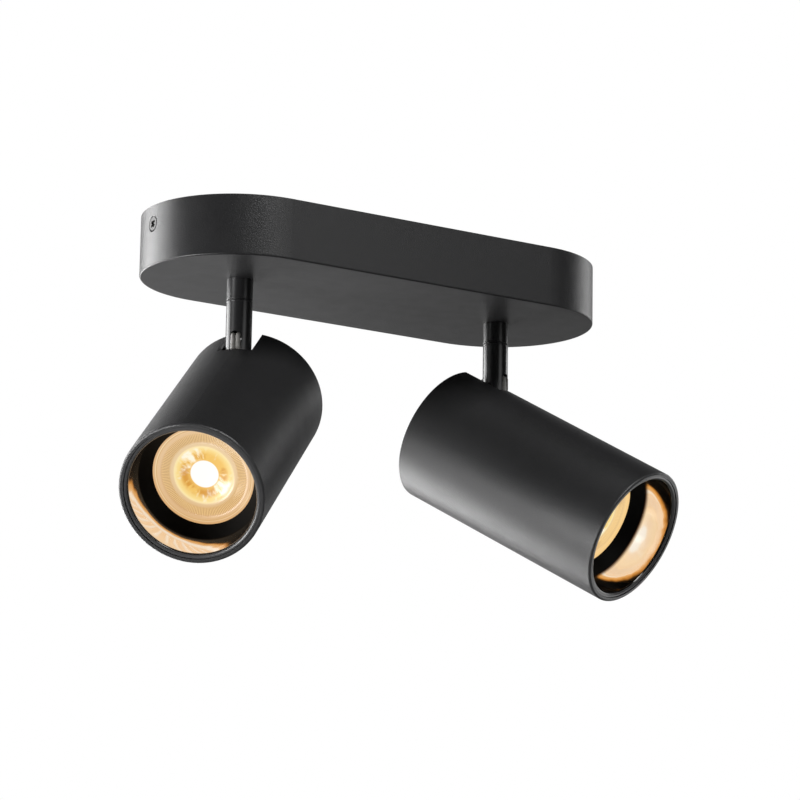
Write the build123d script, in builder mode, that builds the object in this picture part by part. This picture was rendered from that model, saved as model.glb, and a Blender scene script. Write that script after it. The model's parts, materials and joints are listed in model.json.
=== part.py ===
from build123d import *

import os
from math import asin, cos, degrees, radians, sin, sqrt, tan

# Twin spotlight: a long round-ended canopy with two stems, each carrying a tubular lamp head.
# Millimetres. The origin is the middle of the ceiling plane, +Z points into the ceiling, +X runs along
# the canopy, and a head that looks straight ahead faces -Y.

# Clearances
running_clearance = 0.05  # radial, a shaft that turns in its bore
screw_clearance = 0.05  # radial, a screw or pin in its hole
slip_clearance = 0.15  # radial, an insert in the tube
pass_gap = 0.3  # between faces that move past each other
touch_gap = 0.1  # between pieces that seat on each other without being fixed

# Canopy
canopy_length = 228.0
canopy_width = 90.0
canopy_height = 27.5
canopy_wall = 1.5
canopy_edge_radius = 0.8

# Ceiling bracket
strap_width = 14.0
strap_thickness = 1.5
strap_bend_radius = 2.5
tab_height = 14.0
mount_slot_spacing = 75.0
mount_slot_length = 14.0
mount_slot_width = 5.0

# Canopy screws
canopy_screw_drop = 8.5  # ceiling plane to the screw's axis
canopy_screw_radius = 2.0
canopy_screw_head_radius = 3.6
canopy_screw_length = 9.0
countersink_angle = 90.0

# Terminal block
pole_radius = 3.6
pole_length = 18.0
pole_pair_gap = 0.13  # between two leads in one pole
pole_bore_clearance = 0.135  # round the two leads
web_thickness = 2.5
web_width = 11.0
tower_radius = 2.9
tower_height = 11.0
tower_offset = 5.0
terminal_screw_radius = 1.6
terminal_screw_recess = 0.6
block_screw_radius = 1.5
block_screw_head_radius = 2.5
block_screw_head_height = 1.6
block_screw_room = 0.15  # between the screw's head and the poles beside it

# Earth screw
earth_screw_x = -24.0
earth_screw_radius = 2.0
earth_screw_head_radius = 3.5
earth_screw_head_height = 2.4

# Leads
lead_radius = 0.85
lead_spacing = 2.1  # between the two leads of a pair
lead_forward = 1.0  # stem axis to the pair, in the bore
lead_bend = 3.5
lead_joint_rise = 1.0  # top of the stem to where the leads meet
earth_lead_sweep = 5.0  # terminal block to the lead's outer run

# Routes of the leads in the canopy: rise above the stem's joint, distance from the terminal block
high_lead_rise = 7.0
high_lead_turn = 6.0
high_lead_run = 8.0
high_lead_share = 0.5  # of the way to the stem
low_lead_rise = 4.5
low_lead_turn = {"left": 10.0, "right": 21.0}
low_lead_step = 6.0
low_lead_run = 14.0
low_lead_share = 0.6

# Route of the leads in the head
lamp_lead_dip = 6.5  # below the tilt bracket's top face
lamp_lead_spread = 5.0  # head's middle plane to each lead
lamp_lead_past_slot = 3.5
lamp_lead_entry = 5.0  # last bend to the lamp holder

# Collar, its nut and washer
stem_spacing = 137.6
stem_diameter = 11.7
collar_length = 9.6
nipple_radius = 5.0
nipple_end = 2.0  # thread left above the nut
collar_washer_radius = 8.5
collar_washer_thickness = 0.8
collar_washer_teeth = 12
collar_washer_notch = 1.4
nut_across_flats = 14.0
nut_height = 3.0

# Swivel
journal_radius = 3.7
bore_radius = 2.5
swivel_washer_thickness = 0.5
swivel_washer_inset = 0.55
friction_washer_radius = 5.6
friction_washer_thickness = 0.6
clip_radius = 5.4
clip_thickness = 0.8
clip_groove_depth = 0.5
clip_mouth = 5.0
journal_end = 1.3
swivel_half_range = 160.0
stop_pin_radius = 0.6
stop_pin_gap = 0.2
stop_margin_angle = 1.0
stop_groove_depth = 0.7

# Tilt pivot
pivot_drop = 30.8  # canopy underside to the tilt axis
fork_slot_width = 5.3
fork_slot_top = 6.5  # tilt axis to the top of the fork's slot
pivot_pin_radius = 1.5
pivot_pin_head_radius = 1.75
pivot_pin_head_height = 1.2

# Heads
head_diameter = 64.0
head_length = 115.0
tube_wall = 2.0
tube_chamfer = 0.4  # rear edge
tube_front_round = 1.0
pivot_depth = 2.0  # tube's outside to the tilt axis
pivot_setback = 13.8  # rear end of the tube to the tilt axis
tube_slot_width = 16.0
tube_slot_spare = 1.85  # past the stem when the head is level
tube_slot_corner = 1.5
screw_rib_radius = 3.4
screw_rib_length = 26.0

# Rear cap
cap_recess = 2.5
cap_thickness = 3.0
cap_screw_radius = 1.5
cap_screw_head_radius = 2.75
cap_screw_head_height = 1.8
cap_screw_length = 9.0
vent_length = 14.0
vent_width = 2.4
vent_rows = (10.0, 15.5)

# Tilt bracket
bracket_thickness = 3.0
bracket_gap = 0.6  # rounded end of the stem to the bracket
bracket_width = 18.0
bracket_plate_length = 13.0
bracket_flange_depth = 15.5
bracket_screw_depth = 9.5  # bracket's top face to its screws
bracket_screw_spacing = 10.0
bracket_fillet = 2.0

# Anti-glare ring
glare_recess = 0.5
glare_land = 0.35  # flat rim round the lip
glare_taper = 0.8  # mouth radius less base radius
glare_seat_width = 4.8  # base radius less aperture radius
glare_seat_rise = 4.8
glare_seat_edge = 0.4  # thickness at the aperture
glare_wall = 1.2
glare_band_length = 8.0
glare_lip_radius = 1.5

# Lamp and holder
lamp_diameter = 50.0
lamp_length = 46.9
lamp_base_radius = 8.4
lamp_base_length = 8.0
lamp_shoulder_radius = 13.4
lamp_shoulder_length = 1.5
lamp_neck_radius = 16.4
lamp_neck_length = 8.0
lamp_rim_length = 8.0
lamp_rim_run = 4.0
lamp_rim_step = 1.0
lamp_bezel = 1.1
lamp_pin_spacing = 10.0
lamp_pin_neck_radius = 1.6
lamp_pin_neck_length = 3.0
lamp_pin_radius = 2.4
lamp_pin_length = 7.4
lens_thickness = 1.2
lens_core_radius = 13.5
lens_core_depth = 13.0
lens_core_end_radius = 7.0
lens_cup_radius = 5.2
lens_cup_depth = 3.0
led_gap = 0.4  # chip to the optic
led_board_radius = 11.8
led_board_thickness = 1.6
led_radius = 4.5
led_height = 1.0
holder_setback = 30.0  # rear end of the tube to the holder
holder_radius = 14.0
holder_height = 16.5
holder_chamfer = 1.0
holder_pin_clearance = 0.2
holder_screw_spacing = 17.0
holder_screw_length = 7.0
holder_lead_radius = 1.1
holder_lead_depth = 4.0
holder_lead_offset = 10.5
holder_lead_rise = 2.0

# Holder bracket
holder_strip_thickness = 1.5
holder_strip_width = 16.0
holder_strip_leg = 17.5  # head axis to the outer face of its leg
holder_strip_foot = 11.5
holder_strip_reach = 12.0
holder_foot_screw = 11.0  # head axis to its foot screws

# Aim of the heads: yaw from straight ahead, tilt from straight down
left_yaw = -45.0
left_tilt = 56.8
right_yaw = 27.6
right_tilt = 60.2

# Levels, measured up from the ceiling plane
underside = -canopy_height
canopy_floor = underside + canopy_wall
collar_end = underside - collar_length
stem_top = collar_end - swivel_washer_thickness
pivot_level = underside - pivot_drop
nut_seat = canopy_floor + collar_washer_thickness
nipple_top = nut_seat + nut_height + nipple_end
clip_seat = nipple_top + friction_washer_thickness
journal_top = clip_seat + clip_thickness + journal_end
stop_level = underside - collar_length / 2
lead_joint_level = journal_top + lead_joint_rise
pole_level = -(strap_thickness + pole_radius)

# Radii and distances worked out from the driving sizes
stem_radius = stem_diameter / 2
stem_offset = stem_spacing / 2
pole_pitch = 2 * (pole_radius + block_screw_head_radius + block_screw_room)
pole_lane = lead_radius + pole_pair_gap / 2
pole_bore_radius = pole_lane + lead_radius + pole_bore_clearance
journal_bore_radius = journal_radius + running_clearance
stop_groove_radius = journal_radius - stop_groove_depth
stop_pin_reach = stop_groove_radius + touch_gap
stop_pin_angle = degrees(asin(stop_pin_radius / stop_pin_reach))
stop_block_angle = 180 - swivel_half_range - stop_pin_angle - stop_margin_angle
clip_groove_radius = journal_radius - clip_groove_depth
pin_head_seat = sqrt(stem_radius**2 - pivot_pin_head_radius**2)
pin_reach = sqrt(stem_radius**2 - pivot_pin_radius**2)
tongue_thickness = fork_slot_width - 2 * pass_gap
lead_front = stem_radius - lead_radius - pass_gap - touch_gap
tongue_eye_radius = lead_front - lead_radius - pass_gap - running_clearance
head_radius = head_diameter / 2
tube_bore_radius = head_radius - tube_wall
pivot_offset = head_radius - pivot_depth
tube_slot_length = pivot_setback + stem_radius + tube_slot_spare
bracket_top = pivot_offset - stem_radius - bracket_gap
bracket_screw_line = bracket_top - bracket_screw_depth
cap_face = cap_recess + cap_thickness
screw_rib_line = tube_bore_radius - slip_clearance - cap_screw_head_radius
lamp_radius = lamp_diameter / 2
holder_front = holder_setback + holder_height
lamp_base = holder_front + touch_gap
lamp_front = lamp_base + lamp_length
led_depth = lens_core_depth + led_gap + led_height + led_board_thickness
glare_band_radius = tube_bore_radius - slip_clearance
glare_mouth_radius = glare_band_radius - glare_land - glare_lip_radius
glare_base_radius = glare_mouth_radius - glare_taper
glare_aperture_radius = glare_base_radius - glare_seat_width
canopy_end_radius = canopy_width / 2
canopy_straight = canopy_length / 2 - canopy_end_radius
tab_face = (
    canopy_straight
    + sqrt((canopy_end_radius - canopy_wall) ** 2 - (strap_width / 2) ** 2)
    - pass_gap
)


class SpotFrame:
    """Planes and axes of one spot.

    stem: across the stem, x forward, z up.
    turning: through the stem's axis, x forward, y up, level 0 at the ceiling.
    tilting: square to the tilt axis at the pivot, x forward, y up.
    fork: square to the forward direction at the pivot, x along the pin, y up.
    head: across the tube at its rear end, x towards the stem, z towards the mouth.
    profile: through the head's axis, x from the rear end to the mouth, y towards the stem.
    """

    def __init__(self, side, stem_x, yaw, tilt):
        up = Vector(0, 0, 1)
        forward = Vector(sin(radians(yaw)), -cos(radians(yaw)), 0)
        pin_direction = forward.cross(up)
        aim = forward * sin(radians(tilt)) - up * cos(radians(tilt))
        top = forward * cos(radians(tilt)) + up * sin(radians(tilt))
        ceiling_point = Vector(stem_x, 0, 0)
        pivot = Vector(stem_x, 0, pivot_level)
        rear = pivot - top * pivot_offset - aim * pivot_setback
        self.side = side
        self.stem = Plane(origin=ceiling_point, x_dir=forward, z_dir=up)
        self.turning = Plane(origin=ceiling_point, x_dir=forward, z_dir=pin_direction)
        self.tilting = Plane(origin=pivot, x_dir=forward, z_dir=pin_direction)
        self.fork = Plane(origin=pivot, x_dir=pin_direction, z_dir=-forward)
        self.head = Plane(origin=rear, x_dir=top, z_dir=aim)
        self.profile = Plane(origin=rear, x_dir=aim, z_dir=pin_direction)
        self.stem_axis = Axis(ceiling_point, up)
        self.pin_axis = Axis(pivot, pin_direction)
        self.head_axis = Axis(rear, aim)


def save(piece, name):
    """Label a finished piece and write it as its own file."""
    piece.part.label = name
    export_step(piece.part, f"parts/{name}.step")


def make_wire(points):
    """One lead: a round section along straight runs joined by tangent arcs."""
    with BuildLine() as route:
        FilletPolyline(*points, radius=lead_bend)
    path = route.wires()[0]
    with BuildPart() as wire:
        with BuildSketch(Plane(origin=path @ 0, z_dir=path % 0)):
            Circle(lead_radius)
        sweep(path=path)
    return wire.part


# Canopy and what it holds


def make_canopy_cover():
    """Round-ended shell, open to the ceiling, with holes for the stems and a screw at each end."""
    with BuildPart() as cover:
        with BuildSketch(Plane.XY.offset(underside)):
            SlotOverall(canopy_length, canopy_width)
        extrude(amount=canopy_height)
        fillet(cover.faces().sort_by(Axis.Z)[0].edges(), canopy_edge_radius)
        with BuildSketch(Plane.XY.offset(canopy_floor)):
            SlotOverall(canopy_length - 2 * canopy_wall, canopy_width - 2 * canopy_wall)
        extrude(amount=canopy_height - canopy_wall, mode=Mode.SUBTRACT)
        with BuildSketch(Plane.XY.offset(underside)):
            with Locations((-stem_offset, 0), (stem_offset, 0)):
                Circle(nipple_radius + screw_clearance)
        extrude(amount=canopy_wall, mode=Mode.SUBTRACT)
        for end in (-1, 1):
            screw_point = (end * canopy_length / 2, 0, -canopy_screw_drop)
            with Locations(Plane(origin=screw_point, z_dir=(end, 0, 0))):
                CounterSinkHole(
                    radius=canopy_screw_radius + screw_clearance,
                    counter_sink_radius=canopy_screw_head_radius + touch_gap + screw_clearance,
                    depth=2 * canopy_wall,
                    counter_sink_angle=countersink_angle,
                )
    save(cover, "canopy_cover")


def make_canopy_screws():
    """Countersunk screw at each round end, through the cover into the bracket's tab."""
    head_height = (canopy_screw_head_radius - canopy_screw_radius) / tan(radians(countersink_angle / 2))
    with BuildPart() as screws:
        for end in (-1, 1):
            tip = Vector(end * (canopy_length / 2 - touch_gap), 0, -canopy_screw_drop)
            inward = Vector(-end, 0, 0)
            with BuildSketch(Plane(origin=tip, x_dir=inward, z_dir=(0, 1, 0))):
                with BuildLine():
                    Polyline(
                        (0, 0),
                        (0, canopy_screw_head_radius),
                        (head_height, canopy_screw_radius),
                        (canopy_screw_length, canopy_screw_radius),
                        (canopy_screw_length, 0),
                        close=True,
                    )
                make_face()
            revolve(axis=Axis(tip, inward))
    save(screws, "canopy_screws")


def make_ceiling_bracket():
    """Crossbar with slotted holes for the ceiling screws and a bent tab at each end."""
    with BuildPart() as bracket:
        with BuildSketch(Plane.XZ):
            with BuildLine():
                Polyline(
                    (-tab_face, -tab_height),
                    (-tab_face, 0),
                    (tab_face, 0),
                    (tab_face, -tab_height),
                    (tab_face - strap_thickness, -tab_height),
                    (tab_face - strap_thickness, -strap_thickness),
                    (-tab_face + strap_thickness, -strap_thickness),
                    (-tab_face + strap_thickness, -tab_height),
                    close=True,
                )
            make_face()
        extrude(amount=strap_width / 2, both=True)
        bends = bracket.edges().filter_by(Axis.Y)
        fillet(bends.group_by(Axis.Z)[-1], strap_bend_radius)
        fillet(bends.group_by(Axis.Z)[-2], strap_bend_radius - strap_thickness)
        with BuildSketch(Plane.XY.offset(-strap_thickness)):
            with GridLocations(mount_slot_spacing, 0, 2, 1):
                SlotOverall(mount_slot_length, mount_slot_width)
            with Locations((pole_pitch / 2, 0)):
                Circle(block_screw_radius + screw_clearance)
            with Locations((earth_screw_x, 0)):
                Circle(earth_screw_radius + screw_clearance)
        extrude(amount=strap_thickness, mode=Mode.SUBTRACT)
        with BuildSketch(Plane.YZ.offset(-tab_face)):
            with Locations((0, -canopy_screw_drop)):
                Circle(canopy_screw_radius + screw_clearance)
        extrude(amount=2 * tab_face, mode=Mode.SUBTRACT)
    save(bracket, "ceiling_bracket")


def make_terminal_block():
    """Three-pole strip under the bracket: wire tunnels joined by webs, with a screw tower at each end."""
    poles = (-pole_pitch, 0, pole_pitch)
    tower_end = -strap_thickness - tower_height
    with BuildPart() as block:
        with BuildSketch(Plane.XY.offset(-strap_thickness - web_thickness)):
            Rectangle(2 * pole_pitch, web_width)
        extrude(amount=web_thickness)
        with BuildSketch(Plane.XZ):
            with Locations(*[(x, pole_level) for x in poles]):
                Circle(pole_radius)
        extrude(amount=pole_length / 2, both=True)
        with BuildSketch(Plane.XY.offset(tower_end)):
            with GridLocations(pole_pitch, 2 * tower_offset, len(poles), 2):
                Circle(tower_radius)
        extrude(amount=pole_level - tower_end)
        with BuildSketch(Plane.XZ):
            with Locations(*[(x, pole_level) for x in poles]):
                Circle(pole_bore_radius)
        extrude(amount=pole_length / 2, both=True, mode=Mode.SUBTRACT)
        with BuildSketch(Plane.XY.offset(tower_end)):
            with GridLocations(pole_pitch, 2 * tower_offset, len(poles), 2):
                Circle(terminal_screw_radius + screw_clearance)
        extrude(amount=pole_level - tower_end, mode=Mode.SUBTRACT)
        with BuildSketch(Plane.XY.offset(-strap_thickness - web_thickness)):
            with Locations((pole_pitch / 2, 0)):
                Circle(block_screw_radius + screw_clearance)
        extrude(amount=web_thickness, mode=Mode.SUBTRACT)
    save(block, "terminal_block")

    clamp_level = pole_level - lead_radius - touch_gap
    with BuildPart() as clamp_screws:
        with BuildSketch(Plane.XY.offset(tower_end + terminal_screw_recess)):
            with GridLocations(pole_pitch, 2 * tower_offset, len(poles), 2):
                Circle(terminal_screw_radius)
        extrude(amount=clamp_level - tower_end - terminal_screw_recess)
    save(clamp_screws, "terminal_screws")

    head_level = -strap_thickness - web_thickness
    with BuildPart() as fixing_screw:
        with BuildSketch(Plane.XY.offset(head_level - block_screw_head_height)):
            with Locations((pole_pitch / 2, 0)):
                Circle(block_screw_head_radius)
        extrude(amount=block_screw_head_height)
        with BuildSketch(Plane.XY.offset(head_level)):
            with Locations((pole_pitch / 2, 0)):
                Circle(block_screw_radius)
        extrude(amount=web_thickness + strap_thickness)
    save(fixing_screw, "terminal_block_screw")


def make_earth_bond():
    """Earth screw in the bracket and the lead that joins it to the middle pole."""
    with BuildPart() as screw:
        with BuildSketch(Plane.XY.offset(-strap_thickness - earth_screw_head_height)):
            with Locations((earth_screw_x, 0)):
                Circle(earth_screw_head_radius)
        extrude(amount=earth_screw_head_height)
        with BuildSketch(Plane.XY.offset(-strap_thickness)):
            with Locations((earth_screw_x, 0)):
                Circle(earth_screw_radius)
        extrude(amount=strap_thickness)
    save(screw, "earth_screw")

    lane = -pole_length / 2 - earth_lead_sweep
    clamp_level = -strap_thickness - earth_screw_head_height / 2
    lead = make_wire(
        [
            (0, -tower_offset, pole_level),
            (0, lane, pole_level),
            (earth_screw_x, lane, clamp_level),
            (earth_screw_x, -earth_screw_head_radius - touch_gap, clamp_level),
        ]
    )
    with BuildPart() as earth_lead:
        add(lead)
    save(earth_lead, "earth_lead")


def make_canopy_leads(frame, high_pole, low_pole):
    """Pair of leads from the terminal block to the top of one stem, one passing above the other."""
    side_sign = 1 if frame.stem.origin.X > 0 else -1
    block_edge = pole_length / 2
    high_level = lead_joint_level + high_lead_rise
    low_level = lead_joint_level + low_lead_rise
    high_end = frame.stem.from_local_coords((lead_forward, side_sign * lead_spacing / 2, 0))
    low_end = frame.stem.from_local_coords((lead_forward, -side_sign * lead_spacing / 2, 0))
    high_x = high_pole * pole_pitch + side_sign * pole_lane
    low_x = low_pole * pole_pitch + side_sign * pole_lane
    turn_out = block_edge + low_lead_turn[frame.side]
    high_lead = make_wire(
        [
            (high_x, tower_offset, pole_level),
            (high_x, block_edge + high_lead_turn, pole_level),
            (side_sign * stem_offset * high_lead_share, block_edge + high_lead_run, high_level),
            (high_end.X, high_end.Y, high_level),
            (high_end.X, high_end.Y, lead_joint_level),
        ]
    )
    low_lead = make_wire(
        [
            (low_x, tower_offset, pole_level),
            (low_x, turn_out, pole_level),
            (-low_x, turn_out + low_lead_step, low_level),
            (side_sign * stem_offset * low_lead_share, block_edge + low_lead_run, low_level),
            (low_end.X, low_end.Y, low_level),
            (low_end.X, low_end.Y, lead_joint_level),
        ]
    )
    with BuildPart() as leads:
        add(high_lead)
        add(low_lead)
    save(leads, f"canopy_leads_{frame.side}")


# Collar and swivel


def make_collar(frame):
    """Fixed upper length of the stem, with a hollow threaded nipple through the canopy."""
    with BuildPart() as collar:
        with BuildSketch(frame.turning):
            with BuildLine():
                Polyline(
                    (journal_bore_radius, collar_end),
                    (stem_radius, collar_end),
                    (stem_radius, underside),
                    (nipple_radius, underside),
                    (nipple_radius, nipple_top),
                    (journal_bore_radius, nipple_top),
                    close=True,
                )
            make_face()
        revolve(axis=frame.stem_axis)
        with BuildSketch(Plane(origin=frame.stem.origin, x_dir=(1, 0, 0), z_dir=(0, 1, 0))):
            with Locations((0, -stop_level)):
                Circle(stop_pin_radius + screw_clearance)
        extrude(amount=2 * stem_radius, mode=Mode.SUBTRACT)
    save(collar, f"stem_collar_{frame.side}")

    with BuildPart() as washer:
        with BuildSketch(frame.stem.offset(canopy_floor)):
            Circle(collar_washer_radius)
            Circle(nipple_radius + screw_clearance, mode=Mode.SUBTRACT)
            with PolarLocations(collar_washer_radius, collar_washer_teeth):
                Rectangle(2 * collar_washer_notch, collar_washer_notch, mode=Mode.SUBTRACT)
        extrude(amount=collar_washer_thickness)
    save(washer, f"collar_washer_{frame.side}")

    with BuildPart() as nut:
        with BuildSketch(frame.stem.offset(nut_seat)):
            RegularPolygon(nut_across_flats / 2, 6, major_radius=False)
            Circle(nipple_radius + screw_clearance, mode=Mode.SUBTRACT)
        extrude(amount=nut_height)
    save(nut, f"collar_nut_{frame.side}")

    pin_length = stem_radius - touch_gap - stop_pin_reach
    with BuildPart() as stop_pin:
        pin_plane = Plane(origin=frame.stem.origin, x_dir=(1, 0, 0), z_dir=(0, 1, 0))
        with BuildSketch(pin_plane.offset(stop_pin_reach)):
            with Locations((0, -stop_level)):
                Circle(stop_pin_radius)
        extrude(amount=pin_length)
    save(stop_pin, f"stop_pin_{frame.side}")


def make_swivel_stem(frame):
    """Turned rod: a journal that runs in the collar above, a fork for the head's tongue below."""
    clip_groove_top = clip_seat + clip_thickness + touch_gap
    stem_end = pivot_level - stem_radius
    slot_length = fork_slot_top + 2 * stem_radius
    block_reach = 2 * journal_radius
    block_half_width = block_reach * tan(radians(stop_block_angle))
    stop_groove_height = 2 * (stop_pin_radius + stop_pin_gap)
    with BuildPart() as stem:
        with BuildSketch(frame.turning):
            with BuildLine():
                Polyline(
                    (0, stem_end),
                    (stem_radius, stem_end),
                    (stem_radius, stem_top),
                    (journal_radius, stem_top),
                    (journal_radius, clip_seat),
                    (clip_groove_radius, clip_seat),
                    (clip_groove_radius, clip_groove_top),
                    (journal_radius, clip_groove_top),
                    (journal_radius, journal_top),
                    (0, journal_top),
                    close=True,
                )
            make_face()
        revolve(axis=frame.stem_axis)
        # Lower end rounded about the tilt axis
        with BuildSketch(frame.tilting):
            Circle(stem_radius)
            with Locations((0, (journal_top - pivot_level) / 2)):
                Rectangle(2 * stem_radius, journal_top - pivot_level)
        extrude(amount=2 * stem_radius, both=True, mode=Mode.INTERSECT)
        # Bore for the leads
        with BuildSketch(frame.stem.offset(pivot_level)):
            Circle(bore_radius)
        extrude(amount=journal_top - pivot_level, mode=Mode.SUBTRACT)
        # Slot of the fork, open front and back
        with BuildSketch(frame.fork):
            with Locations((0, fork_slot_top - slot_length / 2)):
                SlotOverall(slot_length, fork_slot_width, rotation=90)
        extrude(amount=2 * stem_radius, both=True, mode=Mode.SUBTRACT)
        # Hole and seat of the pivot pin
        with BuildSketch(frame.tilting):
            Circle(pivot_pin_radius + screw_clearance)
        extrude(amount=2 * stem_radius, both=True, mode=Mode.SUBTRACT)
        with BuildSketch(frame.tilting.offset(pin_head_seat)):
            Circle(pivot_pin_head_radius + screw_clearance)
        extrude(amount=stem_radius, mode=Mode.SUBTRACT)
        # Groove for the stop pin, broken by the block that meets it
        with BuildSketch(frame.stem.offset(stop_level - stop_groove_height / 2)):
            Circle(block_reach)
            Circle(stop_groove_radius, mode=Mode.SUBTRACT)
            with BuildLine():
                Polyline(
                    (0, 0),
                    (block_reach, block_half_width),
                    (block_reach, -block_half_width),
                    close=True,
                )
            make_face(mode=Mode.SUBTRACT)
        extrude(amount=stop_groove_height, mode=Mode.SUBTRACT)
    save(stem, f"swivel_stem_{frame.side}")


def make_swivel_hardware(frame):
    """Washers and clip that hold the journal in the collar, and the pivot pin."""
    washers = {
        "swivel_washer": (stem_top, swivel_washer_thickness, stem_radius - swivel_washer_inset),
        "friction_washer": (nipple_top, friction_washer_thickness, friction_washer_radius),
    }
    for name, (level, thickness, radius) in washers.items():
        with BuildPart() as washer:
            with BuildSketch(frame.stem.offset(level)):
                Circle(radius)
                Circle(journal_radius + running_clearance, mode=Mode.SUBTRACT)
            extrude(amount=thickness)
        save(washer, f"{name}_{frame.side}")

    with BuildPart() as clip:
        with BuildSketch(frame.stem.offset(clip_seat)):
            Circle(clip_radius)
            Circle(clip_groove_radius + screw_clearance, mode=Mode.SUBTRACT)
            with Locations((clip_radius / 2, 0)):
                Rectangle(clip_radius, clip_mouth, mode=Mode.SUBTRACT)
        extrude(amount=clip_thickness)
    save(clip, f"retaining_clip_{frame.side}")

    dome_height = pivot_pin_head_height / 2
    dome_radius = (dome_height**2 + pivot_pin_head_radius**2) / (2 * dome_height)
    head_crown = pin_head_seat + pivot_pin_head_height
    head_rim = head_crown - dome_height
    with BuildPart() as pin:
        with BuildSketch(frame.fork):
            with BuildLine():
                Polyline(
                    (head_crown, 0),
                    (-pin_reach, 0),
                    (-pin_reach, pivot_pin_radius),
                    (pin_head_seat, pivot_pin_radius),
                    (pin_head_seat, pivot_pin_head_radius),
                    (head_rim, pivot_pin_head_radius),
                )
                RadiusArc((head_rim, pivot_pin_head_radius), (head_crown, 0), dome_radius)
            make_face()
        revolve(axis=frame.pin_axis)
    save(pin, f"pivot_pin_{frame.side}")


def make_lamp_leads(frame):
    """Pair of leads down the stem's bore, past the front of the tongue and into the lamp holder."""
    exit_level = pivot_level + fork_slot_top - lead_radius
    leads = []
    for way in (-1, 1):
        in_bore = way * lead_spacing / 2
        stem_points = [
            (lead_forward, in_bore, lead_joint_level),
            (lead_forward, in_bore, exit_level),
            (lead_front, in_bore, exit_level - (lead_front - lead_forward)),
            (lead_front, in_bore, pivot_level - stem_radius),
        ]
        head_points = [
            (bracket_top - lamp_lead_dip, -way * lamp_lead_spread, tube_slot_length + lamp_lead_past_slot),
            (holder_lead_rise, -way * holder_lead_offset, holder_setback - lamp_lead_entry),
            (holder_lead_rise, -way * holder_lead_offset, holder_setback + holder_lead_depth - touch_gap),
        ]
        route = [frame.stem.from_local_coords(point) for point in stem_points]
        route += [frame.head.from_local_coords(point) for point in head_points]
        leads.append(make_wire(route))
    with BuildPart() as lead_pair:
        add(leads)
    save(lead_pair, f"lamp_leads_{frame.side}")


# Head


def make_head_tube(frame):
    """Straight tube with a slot for the stem, open at the rear, and two ribs inside for the cap's screws."""
    round_start = (head_length - tube_front_round, head_radius)
    round_end = (head_length, head_radius - tube_front_round)
    with BuildPart() as tube:
        with BuildSketch(frame.profile):
            with BuildLine():
                Polyline(
                    round_end,
                    (head_length, tube_bore_radius),
                    (0, tube_bore_radius),
                    (0, head_radius - tube_chamfer),
                    (tube_chamfer, head_radius),
                    round_start,
                )
                RadiusArc(round_start, round_end, tube_front_round)
            make_face()
        revolve(axis=frame.head_axis)
        with BuildSketch(frame.head.offset(cap_face)):
            with Locations((0, -screw_rib_line), (0, screw_rib_line)):
                Circle(screw_rib_radius)
                Circle(cap_screw_radius + screw_clearance, mode=Mode.SUBTRACT)
        extrude(amount=screw_rib_length)
        slot_plane = Plane(
            origin=frame.head.from_local_coords((bracket_top, 0, 0)),
            x_dir=frame.head.z_dir,
            z_dir=frame.head.x_dir,
        )
        with BuildSketch(slot_plane):
            RectangleRounded(2 * tube_slot_length, tube_slot_width, tube_slot_corner)
        extrude(amount=head_radius, mode=Mode.SUBTRACT)
    save(tube, f"head_tube_{frame.side}")


def cap_screw_points():
    """Places of the six screws in the rear cap: tube ribs, tilt bracket and holder bracket."""
    half = bracket_screw_spacing / 2
    ribs = [(0, -screw_rib_line), (0, screw_rib_line)]
    tilt_bracket = [(bracket_screw_line, -half), (bracket_screw_line, half)]
    holder_bracket = [(-holder_foot_screw, -half), (-holder_foot_screw, half)]
    return ribs + tilt_bracket + holder_bracket


def make_rear_cap(frame):
    """Recessed disc with a notch for the stem, screw holes and rows of vents."""
    cap_radius = tube_bore_radius - slip_clearance
    with BuildPart() as cap:
        with BuildSketch(frame.head.offset(cap_recess)):
            Circle(cap_radius)
            with Locations((bracket_top + head_radius / 2, 0)):
                Rectangle(head_radius, tube_slot_width, mode=Mode.SUBTRACT)
            with Locations(*cap_screw_points()):
                Circle(cap_screw_radius + screw_clearance, mode=Mode.SUBTRACT)
            for row in vent_rows:
                with Locations((0, -row), (0, row)):
                    SlotOverall(vent_length, vent_width, mode=Mode.SUBTRACT)
        extrude(amount=cap_thickness)
    save(cap, f"rear_cap_{frame.side}")

    with BuildPart() as screws:
        with BuildSketch(frame.head.offset(cap_recess - cap_screw_head_height)):
            with Locations(*cap_screw_points()):
                Circle(cap_screw_head_radius)
        extrude(amount=cap_screw_head_height)
        with BuildSketch(frame.head.offset(cap_recess)):
            with Locations(*cap_screw_points()):
                Circle(cap_screw_radius)
        extrude(amount=cap_screw_length)
    save(screws, f"cap_screws_{frame.side}")


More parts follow.
